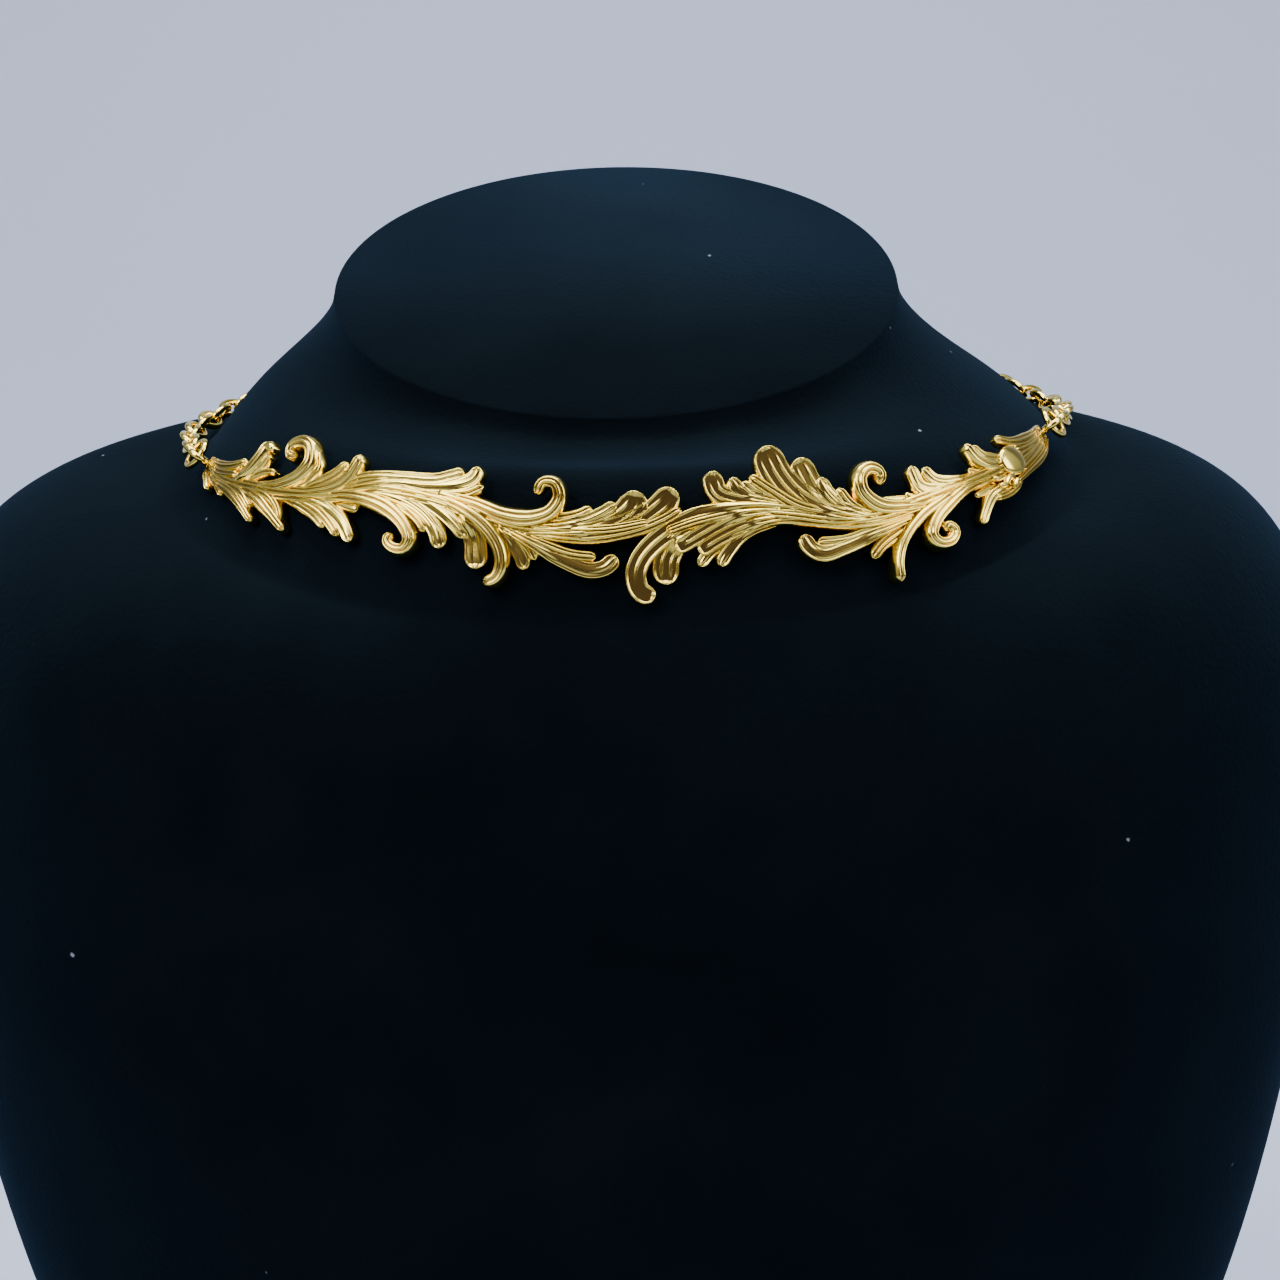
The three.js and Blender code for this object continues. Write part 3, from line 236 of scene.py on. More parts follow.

# The smooth dome on the right. Its crest is a share of the relief, and its upright edge and the rise above
# that are shares of the crest. Its shade is its value on the painted-shade mask, which browns and dulls it a
# little.
DOME = {"along": 55.4, "up": 3.4, "half_width": 2.7, "half_height": 2.0, "crest": 0.95,
        "edge": 0.72, "rise": 0.28, "shade": 0.15, "rings": 12, "sides": 48}

# How finely the loop, the chain's line and the bust are drawn, and how often the bust is softened.
LOOP_STEPS, CHAIN_STEPS, BUST_SIDES, BUST_STEPS, BUST_SOFTENING = 1440, 600, 192, 8, 24

# The casting's and the wire's finish: the size of the grain in millimetres and the roughness.
CASTING_FINISH, WIRE_FINISH = (0.35, 0.15), (0.5, 0.14)


def linear(hex_colour):
    """An sRGB hex value as linear colour: each channel c is c / 12.92 where it is small, and else
    ((c + 0.055) / 1.055) to the power 2.4."""
    c = np.array([int(hex_colour[i : i + 2], 16) for i in (1, 3, 5)]) / 255
    c = np.where(c <= 0.04045, c / 12.92, ((c + 0.055) / 1.055) ** 2.4)
    return tuple(float(x) for x in c)


class ChokerSizes(bpy.types.PropertyGroup):
    relief: bpy.props.FloatProperty(
        name="Relief", description="Height of the ornament's highest crests above the neck",
        default=0.0023, min=0.001, max=0.004, unit="LENGTH", precision=5)
    edge: bpy.props.FloatProperty(
        name="Edge", description="Thickness of the cast metal at its edges",
        default=0.00085, min=0.0004, max=0.0015, unit="LENGTH", precision=5)
    groove: bpy.props.FloatProperty(
        name="Groove", description="Depth of the grooves between a stroke's ribs",
        default=0.0004, min=0.0001, max=0.001, unit="LENGTH", precision=5)
    dish: bpy.props.FloatProperty(
        name="Dish", description="Depth of the dish inside a lobe's rim",
        default=0.0006, min=0.0001, max=0.001, unit="LENGTH", precision=5)
    pile: bpy.props.FloatProperty(
        name="Pile", description="Distance between tufts of the velvet, drawn coarse enough to show",
        default=0.0007, min=0.0002, max=0.003, unit="LENGTH", precision=5)


class ChokerColours(bpy.types.PropertyGroup):
    gold: bpy.props.FloatVectorProperty(
        name="Gold", description="Plated gold on the crests", subtype="COLOR", size=3,
        min=0, max=1, default=linear("#F6D960"))
    # Painted shade: this brown is mixed into the gold in the grooves, on the floors inside rims and on the
    # low webs between leaves. It stands for the shade in them, the dark that the floors mirror and the light
    # the gold bounces into the webs, and is not polish left there.
    painted_shade_gold: bpy.props.FloatVectorProperty(
        name="Recess", description="Gold in the grooves, browned by polish that stays there",
        subtype="COLOR", size=3, min=0, max=1, default=linear("#7E5C30"))
    velvet: bpy.props.FloatVectorProperty(
        name="Velvet", description="The bust's velvet", subtype="COLOR", size=3,
        min=0, max=1, default=linear("#04080B"))
    lint: bpy.props.FloatVectorProperty(
        name="Lint", description="Specks of lint on the velvet", subtype="COLOR", size=3,
        min=0, max=1, default=linear("#9FA9B2"))
    room: bpy.props.FloatVectorProperty(
        name="Room", description="The floor and the wall behind", subtype="COLOR", size=3,
        min=0, max=1, default=linear("#9BA4B8"))
    front: bpy.props.FloatVectorProperty(
        name="Front", description="The dark side of the room, which gold that faces the camera mirrors",
        subtype="COLOR", size=3, min=0, max=1, default=linear("#86648F"))


def unit(vectors):
    """Vectors divided by their own lengths."""
    return vectors / np.maximum(np.linalg.norm(vectors, axis=-1, keepdims=True), 1e-12)


def loop_point(angle):
    """The loop at an angle from the front: an oval seen from above. Its height is its depth from
    front to back times a slope, plus the depth squared times a bend."""
    y = -LOOP_HALF_DEPTH * np.cos(angle)
    x = LOOP_ASIDE + LOOP_HALF_WIDTH * np.sin(angle)
    return np.stack([x, y, LOOP_HEIGHT + LOOP_SLOPE * y + LOOP_BEND * y * y], -1)


def frame_at_angle(angle):
    """The neck at an angle: the loop's point, the way along it, the way up the neck, which leans in
    by a mix of the two lean angles by the sine squared, and the way out, their cross product."""
    step = 1e-3
    along = unit(loop_point(angle + step) - loop_point(angle - step))
    outward = unit(np.stack(
        [np.sin(angle) / LOOP_HALF_WIDTH, -np.cos(angle) / LOOP_HALF_DEPTH, 0 * angle], -1))
    lean = np.radians(LEAN_FRONT + (LEAN_SIDE - LEAN_FRONT) * np.sin(angle) ** 2)[..., None]
    up = np.cos(lean) * np.array([0.0, 0.0, 1.0]) - np.sin(lean) * outward
    up = unit(up - (up * along).sum(-1, keepdims=True) * along)
    return loop_point(angle), along, up, np.cross(along, up)


def reach_of(line):
    """How far along a line each of its points lies."""
    return np.concatenate([[0], np.cumsum(np.linalg.norm(np.diff(line, axis=0), axis=1))])


# Lengths along the loop from its front, at angles all round it, and the length to the nape.
ARC_ANGLES = np.linspace(-np.pi, np.pi, LOOP_STEPS + 1)
ARC_LENGTHS = reach_of(loop_point(ARC_ANGLES))
ARC_LENGTHS -= ARC_LENGTHS[LOOP_STEPS // 2]
NAPE = ARC_LENGTHS[-1]


def neck_frame(along):
    """The neck's frame at lengths along the loop from its front, wrapped round behind."""
    wrapped = (np.asarray(along, float) + NAPE) % (2 * NAPE) - NAPE
    return frame_at_angle(np.interp(wrapped, ARC_LENGTHS, ARC_ANGLES))


def on_neck(along, up, out):
    """Points by their length along the loop and their distances up the neck and out of it."""
    along, up, out = np.broadcast_arrays(along, up, out)
    point, _, way_up, way_out = neck_frame(along)
    return point + up[..., None] * way_up + out[..., None] * way_out


def smooth_line(path, fine=24):
    """A smooth line through a few points: cubic pieces whose slopes at each point come from its
    neighbours, timed by the square roots of the distances between them."""
    p = np.asarray(path, float)
    p = np.vstack([2 * p[0] - p[1], p, 2 * p[-1] - p[-2]])
    a, b, c, d = p[:-3], p[1:-2], p[2:-1], p[3:]
    gaps = np.sqrt(np.linalg.norm(np.diff(p, axis=0), axis=1))[:, None]
    g0, g1, g2 = gaps[:-2], gaps[1:-1], gaps[2:]
    leave = ((b - a) / g0 - (c - a) / (g0 + g1) + (c - b) / g1) * g1
    arrive = ((c - b) / g1 - (d - b) / (g1 + g2) + (d - c) / g2) * g1
    x = np.linspace(0, 1, fine, endpoint=False)[:, None, None]
    line = ((2 * x**3 - 3 * x**2 + 1) * b + (x**3 - 2 * x**2 + x) * leave
            + (3 * x**2 - 2 * x**3) * c + (x**3 - x**2) * arrive)
    return np.vstack([line.transpose(1, 0, 2).reshape(-1, p.shape[1]), p[-2]])


def length_of(line):
    """The whole length of a line."""
    return np.linalg.norm(np.diff(line, axis=0), axis=1).sum()


def along_line(line, share):
    """Points at shares of a line's length, and the unit way along the line there."""
    reach = reach_of(line)
    at = np.asarray(share) * reach[-1]
    point, way = (np.stack([np.interp(at, reach, column) for column in values.T], -1)
                  for values in (line, unit(np.gradient(line, axis=0))))
    return point, unit(way)


def smoothstep(low, high, x):
    """A smooth rise from 0 where x is low to 1 where it is high."""
    x = np.clip((x - low) / (high - low), 0, 1)
    return x * x * (3 - 2 * x)


def ribs_of(t, count):
    """The distance from the middle of the nearest of some equal strips across, from 0 at the
    middle to 1 at the strip's border."""
    return np.abs(2 * ((t * count) % 1) - 1)


def new_object(name, points, faces, material):
    """A smooth-shaded mesh in the scene, from points in metres."""
    mesh = bpy.data.meshes.new(name)
    mesh.from_pydata(points.tolist(), [], faces)
    mesh.polygons.foreach_set("use_smooth", np.ones(len(mesh.polygons), bool))
    mesh.materials.append(material)
    mesh.update()
    thing = bpy.data.objects.new(name, mesh)
    bpy.context.scene.collection.objects.link(thing)
    return thing


class Skin:
    """Points, faces and each point's value of painted shade, gathered into one mesh. The value is 0 on a
    crest and 1 in a hollow that is painted brown in place of its shade."""

    def __init__(self):
        self.points, self.faces, self.hollow, self.count = [], [], [], 0

    def add(self, points, faces, hollow):
        """Takes points in millimetres, faces that count from 0, and values of painted shade."""
        points = points.reshape(-1, 3)
        for group in faces:
            self.faces.extend((np.asarray(group) + self.count).tolist())
        self.points.append(points)
        self.hollow.append(np.broadcast_to(hollow, len(points)).ravel())
        self.count += len(points)

    def shell(self, along, up, out, hollow, sole):
        """A closed skin from a grid of heights over the neck: the grid, a wall down to the sole on
        both sides and at the tip, and a flat root. Rows run from root to tip."""
        rows, columns = along.shape
        step_s = np.stack([np.gradient(along, axis=0), np.gradient(up, axis=0)], -1)
        step_t = np.stack([np.gradient(along, axis=1), np.gradient(up, axis=1)], -1)
        if (step_s[..., 0] * step_t[..., 1] - step_s[..., 1] * step_t[..., 0]).sum() < 0:
            along, up, out, hollow = along[:, ::-1], up[:, ::-1], out[:, ::-1], hollow[:, ::-1]
        top = np.arange(rows * columns).reshape(rows, columns)
        left = rows * columns + np.arange(rows)
        right = left + rows
        toes = np.concatenate([[left[-1]], right[-1] + 1 + np.arange(columns - 2), [right[-1]]])
        points = on_neck(
            np.concatenate([along.ravel(), along[:, 0], along[:, -1], along[-1, 1:-1]]),
            np.concatenate([up.ravel(), up[:, 0], up[:, -1], up[-1, 1:-1]]),
            np.concatenate([out.ravel(), np.full(2 * rows + columns - 2, sole)]))
        shade = np.concatenate([hollow.ravel(), hollow[:, 0], hollow[:, -1], hollow[-1, 1:-1]])
        quads = np.stack([top[:-1, :-1], top[1:, :-1], top[1:, 1:], top[:-1, 1:]], -1).reshape(-1, 4)
        walls = np.concatenate([
            np.stack([left[:-1], left[1:], top[1:, 0], top[:-1, 0]], -1),
            np.stack([top[:-1, -1], top[1:, -1], right[1:], right[:-1]], -1),
            np.stack([right[:-1], right[1:], left[1:], left[:-1]], -1),
            np.stack([top[-1, :-1], toes[:-1], toes[1:], top[-1, 1:]], -1)])
        root = np.concatenate([[left[0]], top[0], [right[0]]])
        self.add(points, [quads, walls, [root], [toes[::-1]]], shade)

    def tube(self, points, hollow=0.0, closed=True):
        """A skin round a tube: a grid of rings of points, joined all round, and end to end too if it
        is closed, or else shut with a flat lid at each end."""
        rings, sides = points.shape[:2]
        index = np.arange(rings * sides).reshape(rings, sides)
        after = np.roll(index, -1, axis=1)
        here, there = (index, np.roll(index, -1, axis=0)) if closed else (index[:-1], index[1:])
        here_after, there_after = (after, np.roll(after, -1, axis=0)) if closed else (after[:-1], after[1:])
        quads = np.stack([here, there, there_after, here_after], -1).reshape(-1, 4)
        lids = [] if closed else [[index[0]], [index[-1][::-1]]]
        self.add(points, [quads, *lids], hollow)

    def piece(self, name, slot, material, replaced):
        """The finished piece, with the hollow attribute, its body and its node. Its slot is not used."""
        piece = new_object(name, np.vstack(self.points) * MM, self.faces, material)
        hollow = piece.data.attributes.new("hollow", "FLOAT", "POINT")
        hollow.data.foreach_set("value", np.concatenate(self.hollow).astype(np.float32))
        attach(piece, "root")
        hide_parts(replaced)
        return piece


def half_width(row, s):
    """A stroke's half width at shares of its length, from root to belly to tip."""
    return np.interp(s, [0, 0.5, 1], [row.root, row.belly, row.tip])


def inside_stroke(points, row):
    """How far points lie inside a stroke's outline: the stroke is the union of circles along its
    line, three to a millimetre, and this is the largest of a circle's radius less the distance
    from its middle."""
    line = smooth_line(row.path)
    whole = length_of(line)
    s = np.linspace(0, 1 - row.tip / whole, max(12, round(3 * whole)))
    middle = along_line(line, s)[0]
    return (half_width(row, s) - np.linalg.norm(points[..., None, :] - middle, axis=-1)).max(-1)


def stroke_skin(skin, row, sizes, sole):
    """A stroke as a surface over s along its line and t across it from -1 to 1. It closes in a
    half circle at its tip. Its height is an arch, the square root of 1 less a power of t, less a
    groove that deepens with a power of the distance from a rib's middle. Inside a rim, which runs
    round the whole leaf, it sinks to a flat floor, with a vein at each border between ribs."""
    relief, edge, groove, dish = (getattr(sizes, n) / MM for n in ("relief", "edge", "groove", "dish"))
    line = smooth_line(row.path)
    whole, ball = length_of(line), row.tip
    turns = np.linspace(0, 1, TIP_ROWS + 1)[1:] * np.pi / 2
    straight = np.linspace(0, whole - ball, max(8, round((whole - ball) / ROW_STEP)))
    reach = np.concatenate([straight, whole - ball + ball * np.sin(turns)])[:, None]
    s = reach / whole
    columns = LEAF_COLUMNS if row.leaf or row.rim > HIGH_RIM else RIB_COLUMNS
    t = np.linspace(-1, 1, columns * max(row.ribs, 2) + 1)[None, :]
    place, way = along_line(line, s[:, 0])
    close = np.sqrt(np.clip(1 - (np.clip(reach - (whole - ball), 0, None) / ball) ** 2, LAST_ROW, 1))
    half = half_width(row, s) * close
    aside = np.stack([-way[:, 1], way[:, 0]], -1)[:, None, :]
    place = place[:, None, :] + aside * (t * half)[..., None]
    inside = np.minimum((1 - np.abs(t)) * half, whole - reach)
    for lobe in STROKES:
        if row.leaf and lobe.leaf == row.leaf and lobe is not row:
            inside = np.maximum(inside, inside_stroke(place, lobe))
    border = ribs_of((t + 1) / 2, row.ribs) if row.ribs > 1 else np.abs(t) * 0
    sunk = row.rim * smoothstep(*RIM_INSIDE, inside) * smoothstep(*RIM_ALONG, s)
    deep = groove * border**GROOVE_POWER * smoothstep(*GROOVE_INSIDE, inside) * smoothstep(
        *GROOVE_ALONG, s) * (1 - sunk)
    base = OUTLINE_HEIGHT * edge
    top = max(row.crest * relief, edge) * (ROOT_CREST + CREST_RISE * smoothstep(*RISE_ALONG, s))
    arch = base + (top - base) * (1 - np.abs(t) ** ARCH_POWER) ** 0.5 * (
        TIP_ARCH + ARCH_RISE * close) - deep
    vein = smoothstep(*VEIN_ACROSS, (1 - border) * half / row.ribs) * smoothstep(*VEIN_ALONG, s)
    height = arch + sunk * (FLOOR_HEIGHT * top - dish + VEIN_HEIGHT * dish * vein - arch)
    web = smoothstep(*WEB_CREST, row.crest)
    # Painted shade: the grooves, the floor inside a rim (all but its veins) and the low webs are marked for
    # browning, in place of the shade in them, the dark the floors mirror and the light bounced into the webs.
    hollow = np.clip(deep / groove + FLOOR_SHADE * sunk * (1 - vein) + WEB_SHADE * web, 0, 1)
    skin.shell(place[..., 0], place[..., 1], np.maximum(height, base * LEAST_HEIGHT), hollow, sole)


def dome_skin(skin, sizes):
    """The dome: an oval with an upright edge, over which it rises by the square root of 1 less the
    distance squared."""
    relief = sizes.relief / MM
    summit = np.pi / 2 - 0.03  # a little short of the top, where a lid shuts it
    slope = np.linspace(0, summit, DOME["rings"])[:, None]
    turn = np.linspace(2 * np.pi, 0, DOME["sides"], endpoint=False)[None, :]
    along = DOME["along"] + DOME["half_width"] * np.cos(slope) * np.cos(turn)
    up = DOME["up"] + DOME["half_height"] * np.cos(slope) * np.sin(turn)
    out = DOME["crest"] * relief * (DOME["edge"] + DOME["rise"] * np.sin(slope)) + 0 * turn
    rings = on_neck(
        np.vstack([along[:1], along]), np.vstack([up[:1], up]), np.vstack([0 * out[:1], out]))
    skin.tube(rings, DOME["shade"], closed=False)


def wire_oval(skin, middle, x, y, half_x, half_y, wire, around=40, sides=14, flat=1.0):
    """A ring of wire: centres on an oval of two half sizes, each with a section that is as wide as
    the wire in the oval's plane and flat times as thick along its axis."""
    turn = (np.arange(around) + 0.5) * 2 * np.pi / around
    z = np.cross(x, y)
    centre = middle + half_x * np.cos(turn)[:, None] * x + half_y * np.sin(turn)[:, None] * y
    out = unit(half_y * np.cos(turn)[:, None] * x + half_x * np.sin(turn)[:, None] * y)
    section = np.arange(sides) * 2 * np.pi / sides
    rings = (centre[:, None, :] + wire / 2 * np.cos(section)[None, :, None] * out[:, None, :]
             + flat * wire / 2 * np.sin(section)[None, :, None] * z)
    skin.tube(rings)


def end_stations(side):
    """Where the lug, the jump ring and the first link lie along the loop at one end of the plate."""
    lug = PLATE_LENGTH / 2 + LUG["outer"] / 2 - LUG["wire"]
    ring = lug + (RING["outer"] - RING["wire"]) / 2
    link = ring + RING["outer"] / 2 - RING["wire"] - TOUCH_GAP - LINK["wire"] / 2
    return side * lug, side * ring, side * link


def wire_point(along):
    """The middle of the wire pieces: it sinks from the plate's end row to the loop, by a smooth
    step over a third of the way from the plate's end to the nape."""
    along = np.asarray(along, float)
    share = (np.abs(along) - PLATE_LENGTH / 2) / (NAPE - PLATE_LENGTH / 2)
    row = np.where(along > 0, END_ROW[1], END_ROW[-1])
    return on_neck(along, row * (1 - smoothstep(0, 1, share * 3)), CHAIN_STAND_OFF)


def chain_stops(start, end, pitch):
    """Places along the loop at equal distances on the chain's own line, an odd number apart."""
    places = np.linspace(start, end, CHAIN_STEPS + 1)
    reach = reach_of(wire_point(places))
    count = 2 * round((reach[-1] / pitch - 1) / 2) + 1
    return np.interp(np.linspace(0, reach[-1], count + 1), reach, places)


def velvet_surface():
    """The bust as a surface over an angle and a height: rings from the cap to the foot, each an
    oval of given half sizes, with smooth lines run through the same angle of every ring."""
    angle = np.linspace(0, 2 * np.pi, BUST_SIDES, endpoint=False)
    cos, sin = np.cos(angle), np.sin(angle)

    def ring(row, inner, outer, height):
        """A section whose shares go from the inner half sizes to the outer ones."""
        side = inner[0] + (outer[0] - inner[0]) * row.side
        front, back = (inner[1] + (outer[1] - inner[1]) * share for share in (row.front, row.back))
        z_front, z_side, z_back = (z * height for z in (row.z_front, row.z_side, row.z_back))
        z = z_side + (z_front - z_back) / 2 * cos + ((z_front + z_back) / 2 - z_side) * cos**2
        x, y = (np.sign(v) * np.abs(v) ** (2 / row.square) for v in (sin, cos))
        return np.stack([side * x, -np.where(cos > 0, front, back) * y, LOOP_HEIGHT + z], -1)

    loop, widest = (LOOP_HALF_WIDTH, LOOP_HALF_DEPTH), (BUST_HALF_WIDTH, BUST_HALF_DEPTH)
    neck = [ring(row, (0, 0), loop, NECK_HEIGHT) for row in NECK_SECTIONS]
    torso = [ring(row, loop, widest, LOOP_HEIGHT) for row in TORSO_SECTIONS]
    point, _, up, out = frame_at_angle(angle)
    seat = []
    for row in SEAT_RINGS:
        end = np.where(cos > 0, row.front, row.back)
        rise = (end + (row.side - end) * sin**4) * SEAT_HEIGHT
        seat.append(point + rise[:, None] * up - TOUCH_GAP * out)
    rings = np.array([*neck, *seat, *torso])
    flat = rings.reshape(len(rings), -1)
    steps = np.linspace(0, len(rings) - 1, (len(rings) - 1) * BUST_STEPS + 1)
    lower = np.minimum(steps.astype(int), len(rings) - 2)
    share = (steps - lower)[:, None]
    padded = np.vstack([2 * flat[0] - flat[1], flat, 2 * flat[-1] - flat[-2]])
    a, b, c, d = (padded[lower + i] for i in range(4))
    body = 0.5 * (2 * b + (c - a) * share + (2 * a - 5 * b + 4 * c - d) * share**2
                  + (3 * b - a - 3 * c + d) * share**3)
    # Creases soften: each point moves half of the way to the middle between its neighbours.
    for _ in range(BUST_SOFTENING):
        body[1:-1] += (body[:-2] - 2 * body[1:-1] + body[2:]) / 4
    return body.reshape(len(steps), len(angle), 3)


def add_node(tree, kind, settings=None, inputs=None):
    """A new node with its settings, and its inputs' values or the outputs that feed them."""
    node = tree.nodes.new(kind)
    for name, value in (settings or {}).items():
        setattr(node, name, value)
    for name, value in (inputs or {}).items():
        if isinstance(value, bpy.types.NodeSocket):
            tree.links.new(value, node.inputs[name])
        else:
            node.inputs[name].default_value = value
    return node


def noise(tree, place, spread, detail=2.0):
    """The grey value of a noise texture whose spots are about as wide as the spread, in metres."""
    return add_node(tree, "ShaderNodeTexNoise", inputs={
        "Vector": place, "Scale": 1 / spread, "Detail": detail}).outputs["Fac"]


def remap(tree, value, span, new_span, kind="LINEAR"):
    """A value carried from one span to another, and held at its ends."""
    return add_node(tree, "ShaderNodeMapRange", {"interpolation_type": kind}, {
        "Value": value, "From Min": span[0], "From Max": span[1],
        "To Min": new_span[0], "To Max": new_span[1]}).outputs[0]


def multiply(tree, a, b):
    """The product of two values."""
    return add_node(tree, "ShaderNodeMath", {"operation": "MULTIPLY"}, {0: a, 1: b}).outputs[0]


def blend(tree, factor, a, b):
    """A colour that goes from a to b as the factor goes from 0 to 1."""
    return add_node(tree, "ShaderNodeMix", {"data_type": "RGBA"}, {
        "Factor": factor, "A": a, "B": b}).outputs["Result"]


def new_material(name):
    """An empty material with its shader and output: the material, its tree and the shader."""
    material = bpy.data.materials.get(name) or bpy.data.materials.new(name)
    material.use_nodes = True
    tree = material.node_tree
    tree.nodes.clear()
    shader = add_node(tree, "ShaderNodeBsdfPrincipled")
    add_node(tree, "ShaderNodeOutputMaterial", inputs={"Surface": shader.outputs[0]})
    return material, tree, shader


def plated_gold(name, colours, finish):
    """Gold plating on a polished casting or on wire: pale on the crests, and browner and duller with painted
    shade where the painted-shade mask marks grooves, floors and webs, over the metal's fine grain."""
    grain_mm, roughness = finish
    material, tree, shader = new_material(name)
    place = add_node(tree, "ShaderNodeTexCoord").outputs["Object"]
    hollow = add_node(tree, "ShaderNodeAttribute", {"attribute_name": "hollow"}).outputs["Fac"]
    patch = remap(tree, noise(tree, place, 6 * MM, 3.0), (0.35, 0.65), (-0.06, 0.08))
    # Painted shade from the mask, plus broad patches where the tone differs at random; together they brown
    # and dull the gold.
    painted_shade_and_tone = add_node(tree, "ShaderNodeMath", {"operation": "ADD", "use_clamp": True},
                    {0: hollow, 1: patch}).outputs[0]
    bump = add_node(tree, "ShaderNodeBump", inputs={
        "Height": noise(tree, place, grain_mm * MM), "Strength": 0.25, "Distance": 0.03 * MM})
    for socket, value in {
        "Base Color": blend(tree, painted_shade_and_tone, (*colours.gold, 1), (*colours.painted_shade_gold, 1)),
        "Roughness": remap(tree, painted_shade_and_tone, (0.0, 1.0), (roughness, roughness + 0.16)),
        "Normal": bump.outputs[0],
    }.items():
        tree.links.new(value, shader.inputs[socket])
    shader.inputs["Metallic"].default_value = 1.0
    return material


def cotton_velvet(colours, pile):
    """Short-pile velvet glued over a moulded bust: near-black navy seen straight on, and lighter
    along its edges, where light catches the sides of the pile. A few specks of lint cling to it."""
    material, tree, shader = new_material("cotton_velvet")
    place = add_node(tree, "ShaderNodeTexCoord").outputs["Object"]
    nap = remap(tree, noise(tree, place, 22 * MM, 4.0), (0.3, 0.7), (0.75, 1.3))
    base = add_node(tree, "ShaderNodeVectorMath", {"operation": "SCALE"}, {
        "Vector": tuple(colours.velvet), "Scale": nap})
    # Lint: bent specks round points scattered in space, of which those on the surface show. Their
    # size, as a share of the spacing, is where they begin and end to fade.
    spacing, size, paleness = 11 * MM, (0.016, 0.03), (0.45, 0.0)
    bend = add_node(tree, "ShaderNodeTexNoise", inputs={"Vector": place, "Scale": 1 / (0.6 * MM)})
    bent = add_node(tree, "ShaderNodeVectorMath", {"operation": "MULTIPLY_ADD"}, {
        0: bend.outputs["Color"], 1: (0.5 * MM,) * 3, 2: place})
    specks = add_node(tree, "ShaderNodeTexVoronoi", inputs={
        "Vector": bent.outputs[0], "Scale": 1 / spacing})
    lint = remap(tree, specks.outputs["Distance"], size, paleness)
    bump = add_node(tree, "ShaderNodeBump", inputs={
        "Height": noise(tree, place, pile), "Strength": 0.5, "Distance": 0.25 * MM})
    for name, value in {"Roughness": 1.0, "Sheen Weight": 0.034, "Sheen Roughness": 0.5,
                        "Sheen Tint": (*linear("#6FBCFF"), 1), "Specular IOR Level": 0.02}.items():
        shader.inputs[name].default_value = value
    colour = blend(tree, lint, base.outputs[0], (*colours.lint, 1))
    tree.links.new(colour, shader.inputs["Base Color"])
    tree.links.new(bump.outputs[0], shader.inputs["Normal"])
    return material


def matt_paint(colours):
    """Matt wall paint on the floor and the wall: even, with the faintest roller mottle."""
    material, tree, shader = new_material("matt_paint")
    place = add_node(tree, "ShaderNodeTexCoord").outputs["Object"]
    mottle = remap(tree, noise(tree, place, 300 * MM), (0.0, 1.0), (0.96, 1.04))
    colour = add_node(tree, "ShaderNodeVectorMath", {"operation": "SCALE"}, {
        "Vector": tuple(colours.room), "Scale": mottle})
    shader.inputs["Roughness"].default_value = 0.9
    tree.links.new(colour.outputs[0], shader.inputs["Base Color"])
    return material


def placed(place, right, up, back):
    """The matrix of a lamp or camera at a place, with these ways as its own x, y and z."""
    return Matrix.Translation(np.asarray(place).tolist()) @ Matrix(
        np.stack([right, up, back], 1).tolist()).to_4x4()


class CHOKER_OT_bust(bpy.types.Operator):
    """Makes the velvet neck bust, from its flat foot to its slanted cap"""

    bl_idname = "choker.bust"
    bl_label = "Neck bust"

    def execute(self, context):
        scene = context.scene
        skin = Skin()
        skin.tube(velvet_surface(), closed=False)
        velvet = cotton_velvet(scene.choker_colours, scene.choker_sizes.pile)
        skin.piece("velvet_bust", "velvet", velvet, "neck_bust")
        return {"FINISHED"}


class CHOKER_OT_collar(bpy.types.Operator):
    """Makes the cast collar plate: stems, hooks, scrolls, leaves, the dome and the two lugs"""

    bl_idname = "choker.collar"
    bl_label = "Collar plate"

    def execute(self, context):
        sizes = context.scene.choker_sizes
        skin = Skin()
        for i, row in enumerate(STROKES):
            stroke_skin(skin, row, sizes, SOLE_STEP * (i % SOLE_LAYERS))
        dome_skin(skin, sizes)
        for side in (-1, 1):
            at = end_stations(side)[0]
            _, along, _, out = neck_frame(at)
            radius = (LUG["outer"] - LUG["wire"]) / 2
            wire_oval(skin, wire_point(at), along, out, radius, radius, LUG["wire"])
        gold = plated_gold("plated_gold_casting", context.scene.choker_colours, CASTING_FINISH)
        skin.piece("cast_collar", "gold_casting", gold, "collar_plate")
        return {"FINISHED"}


class CHOKER_OT_rings(bpy.types.Operator):
    """Makes the two jump rings that join the collar's lugs to the chain"""

    bl_idname = "choker.rings"
    bl_label = "Jump rings"

    def execute(self, context):
        gold = plated_gold("plated_gold_wire", context.scene.choker_colours, WIRE_FINISH)
        for name, side in (("left", -1), ("right", 1)):
            at = end_stations(side)[1]
            _, along, up, _ = neck_frame(at)
            radius = (RING["outer"] - RING["wire"]) / 2
            skin = Skin()
            wire_oval(skin, wire_point(at), along, up, radius, radius, RING["wire"])
            skin.piece(f"wire_ring_{name}", "gold_chain", gold, f"jump_ring_{name}")
        return {"FINISHED"}


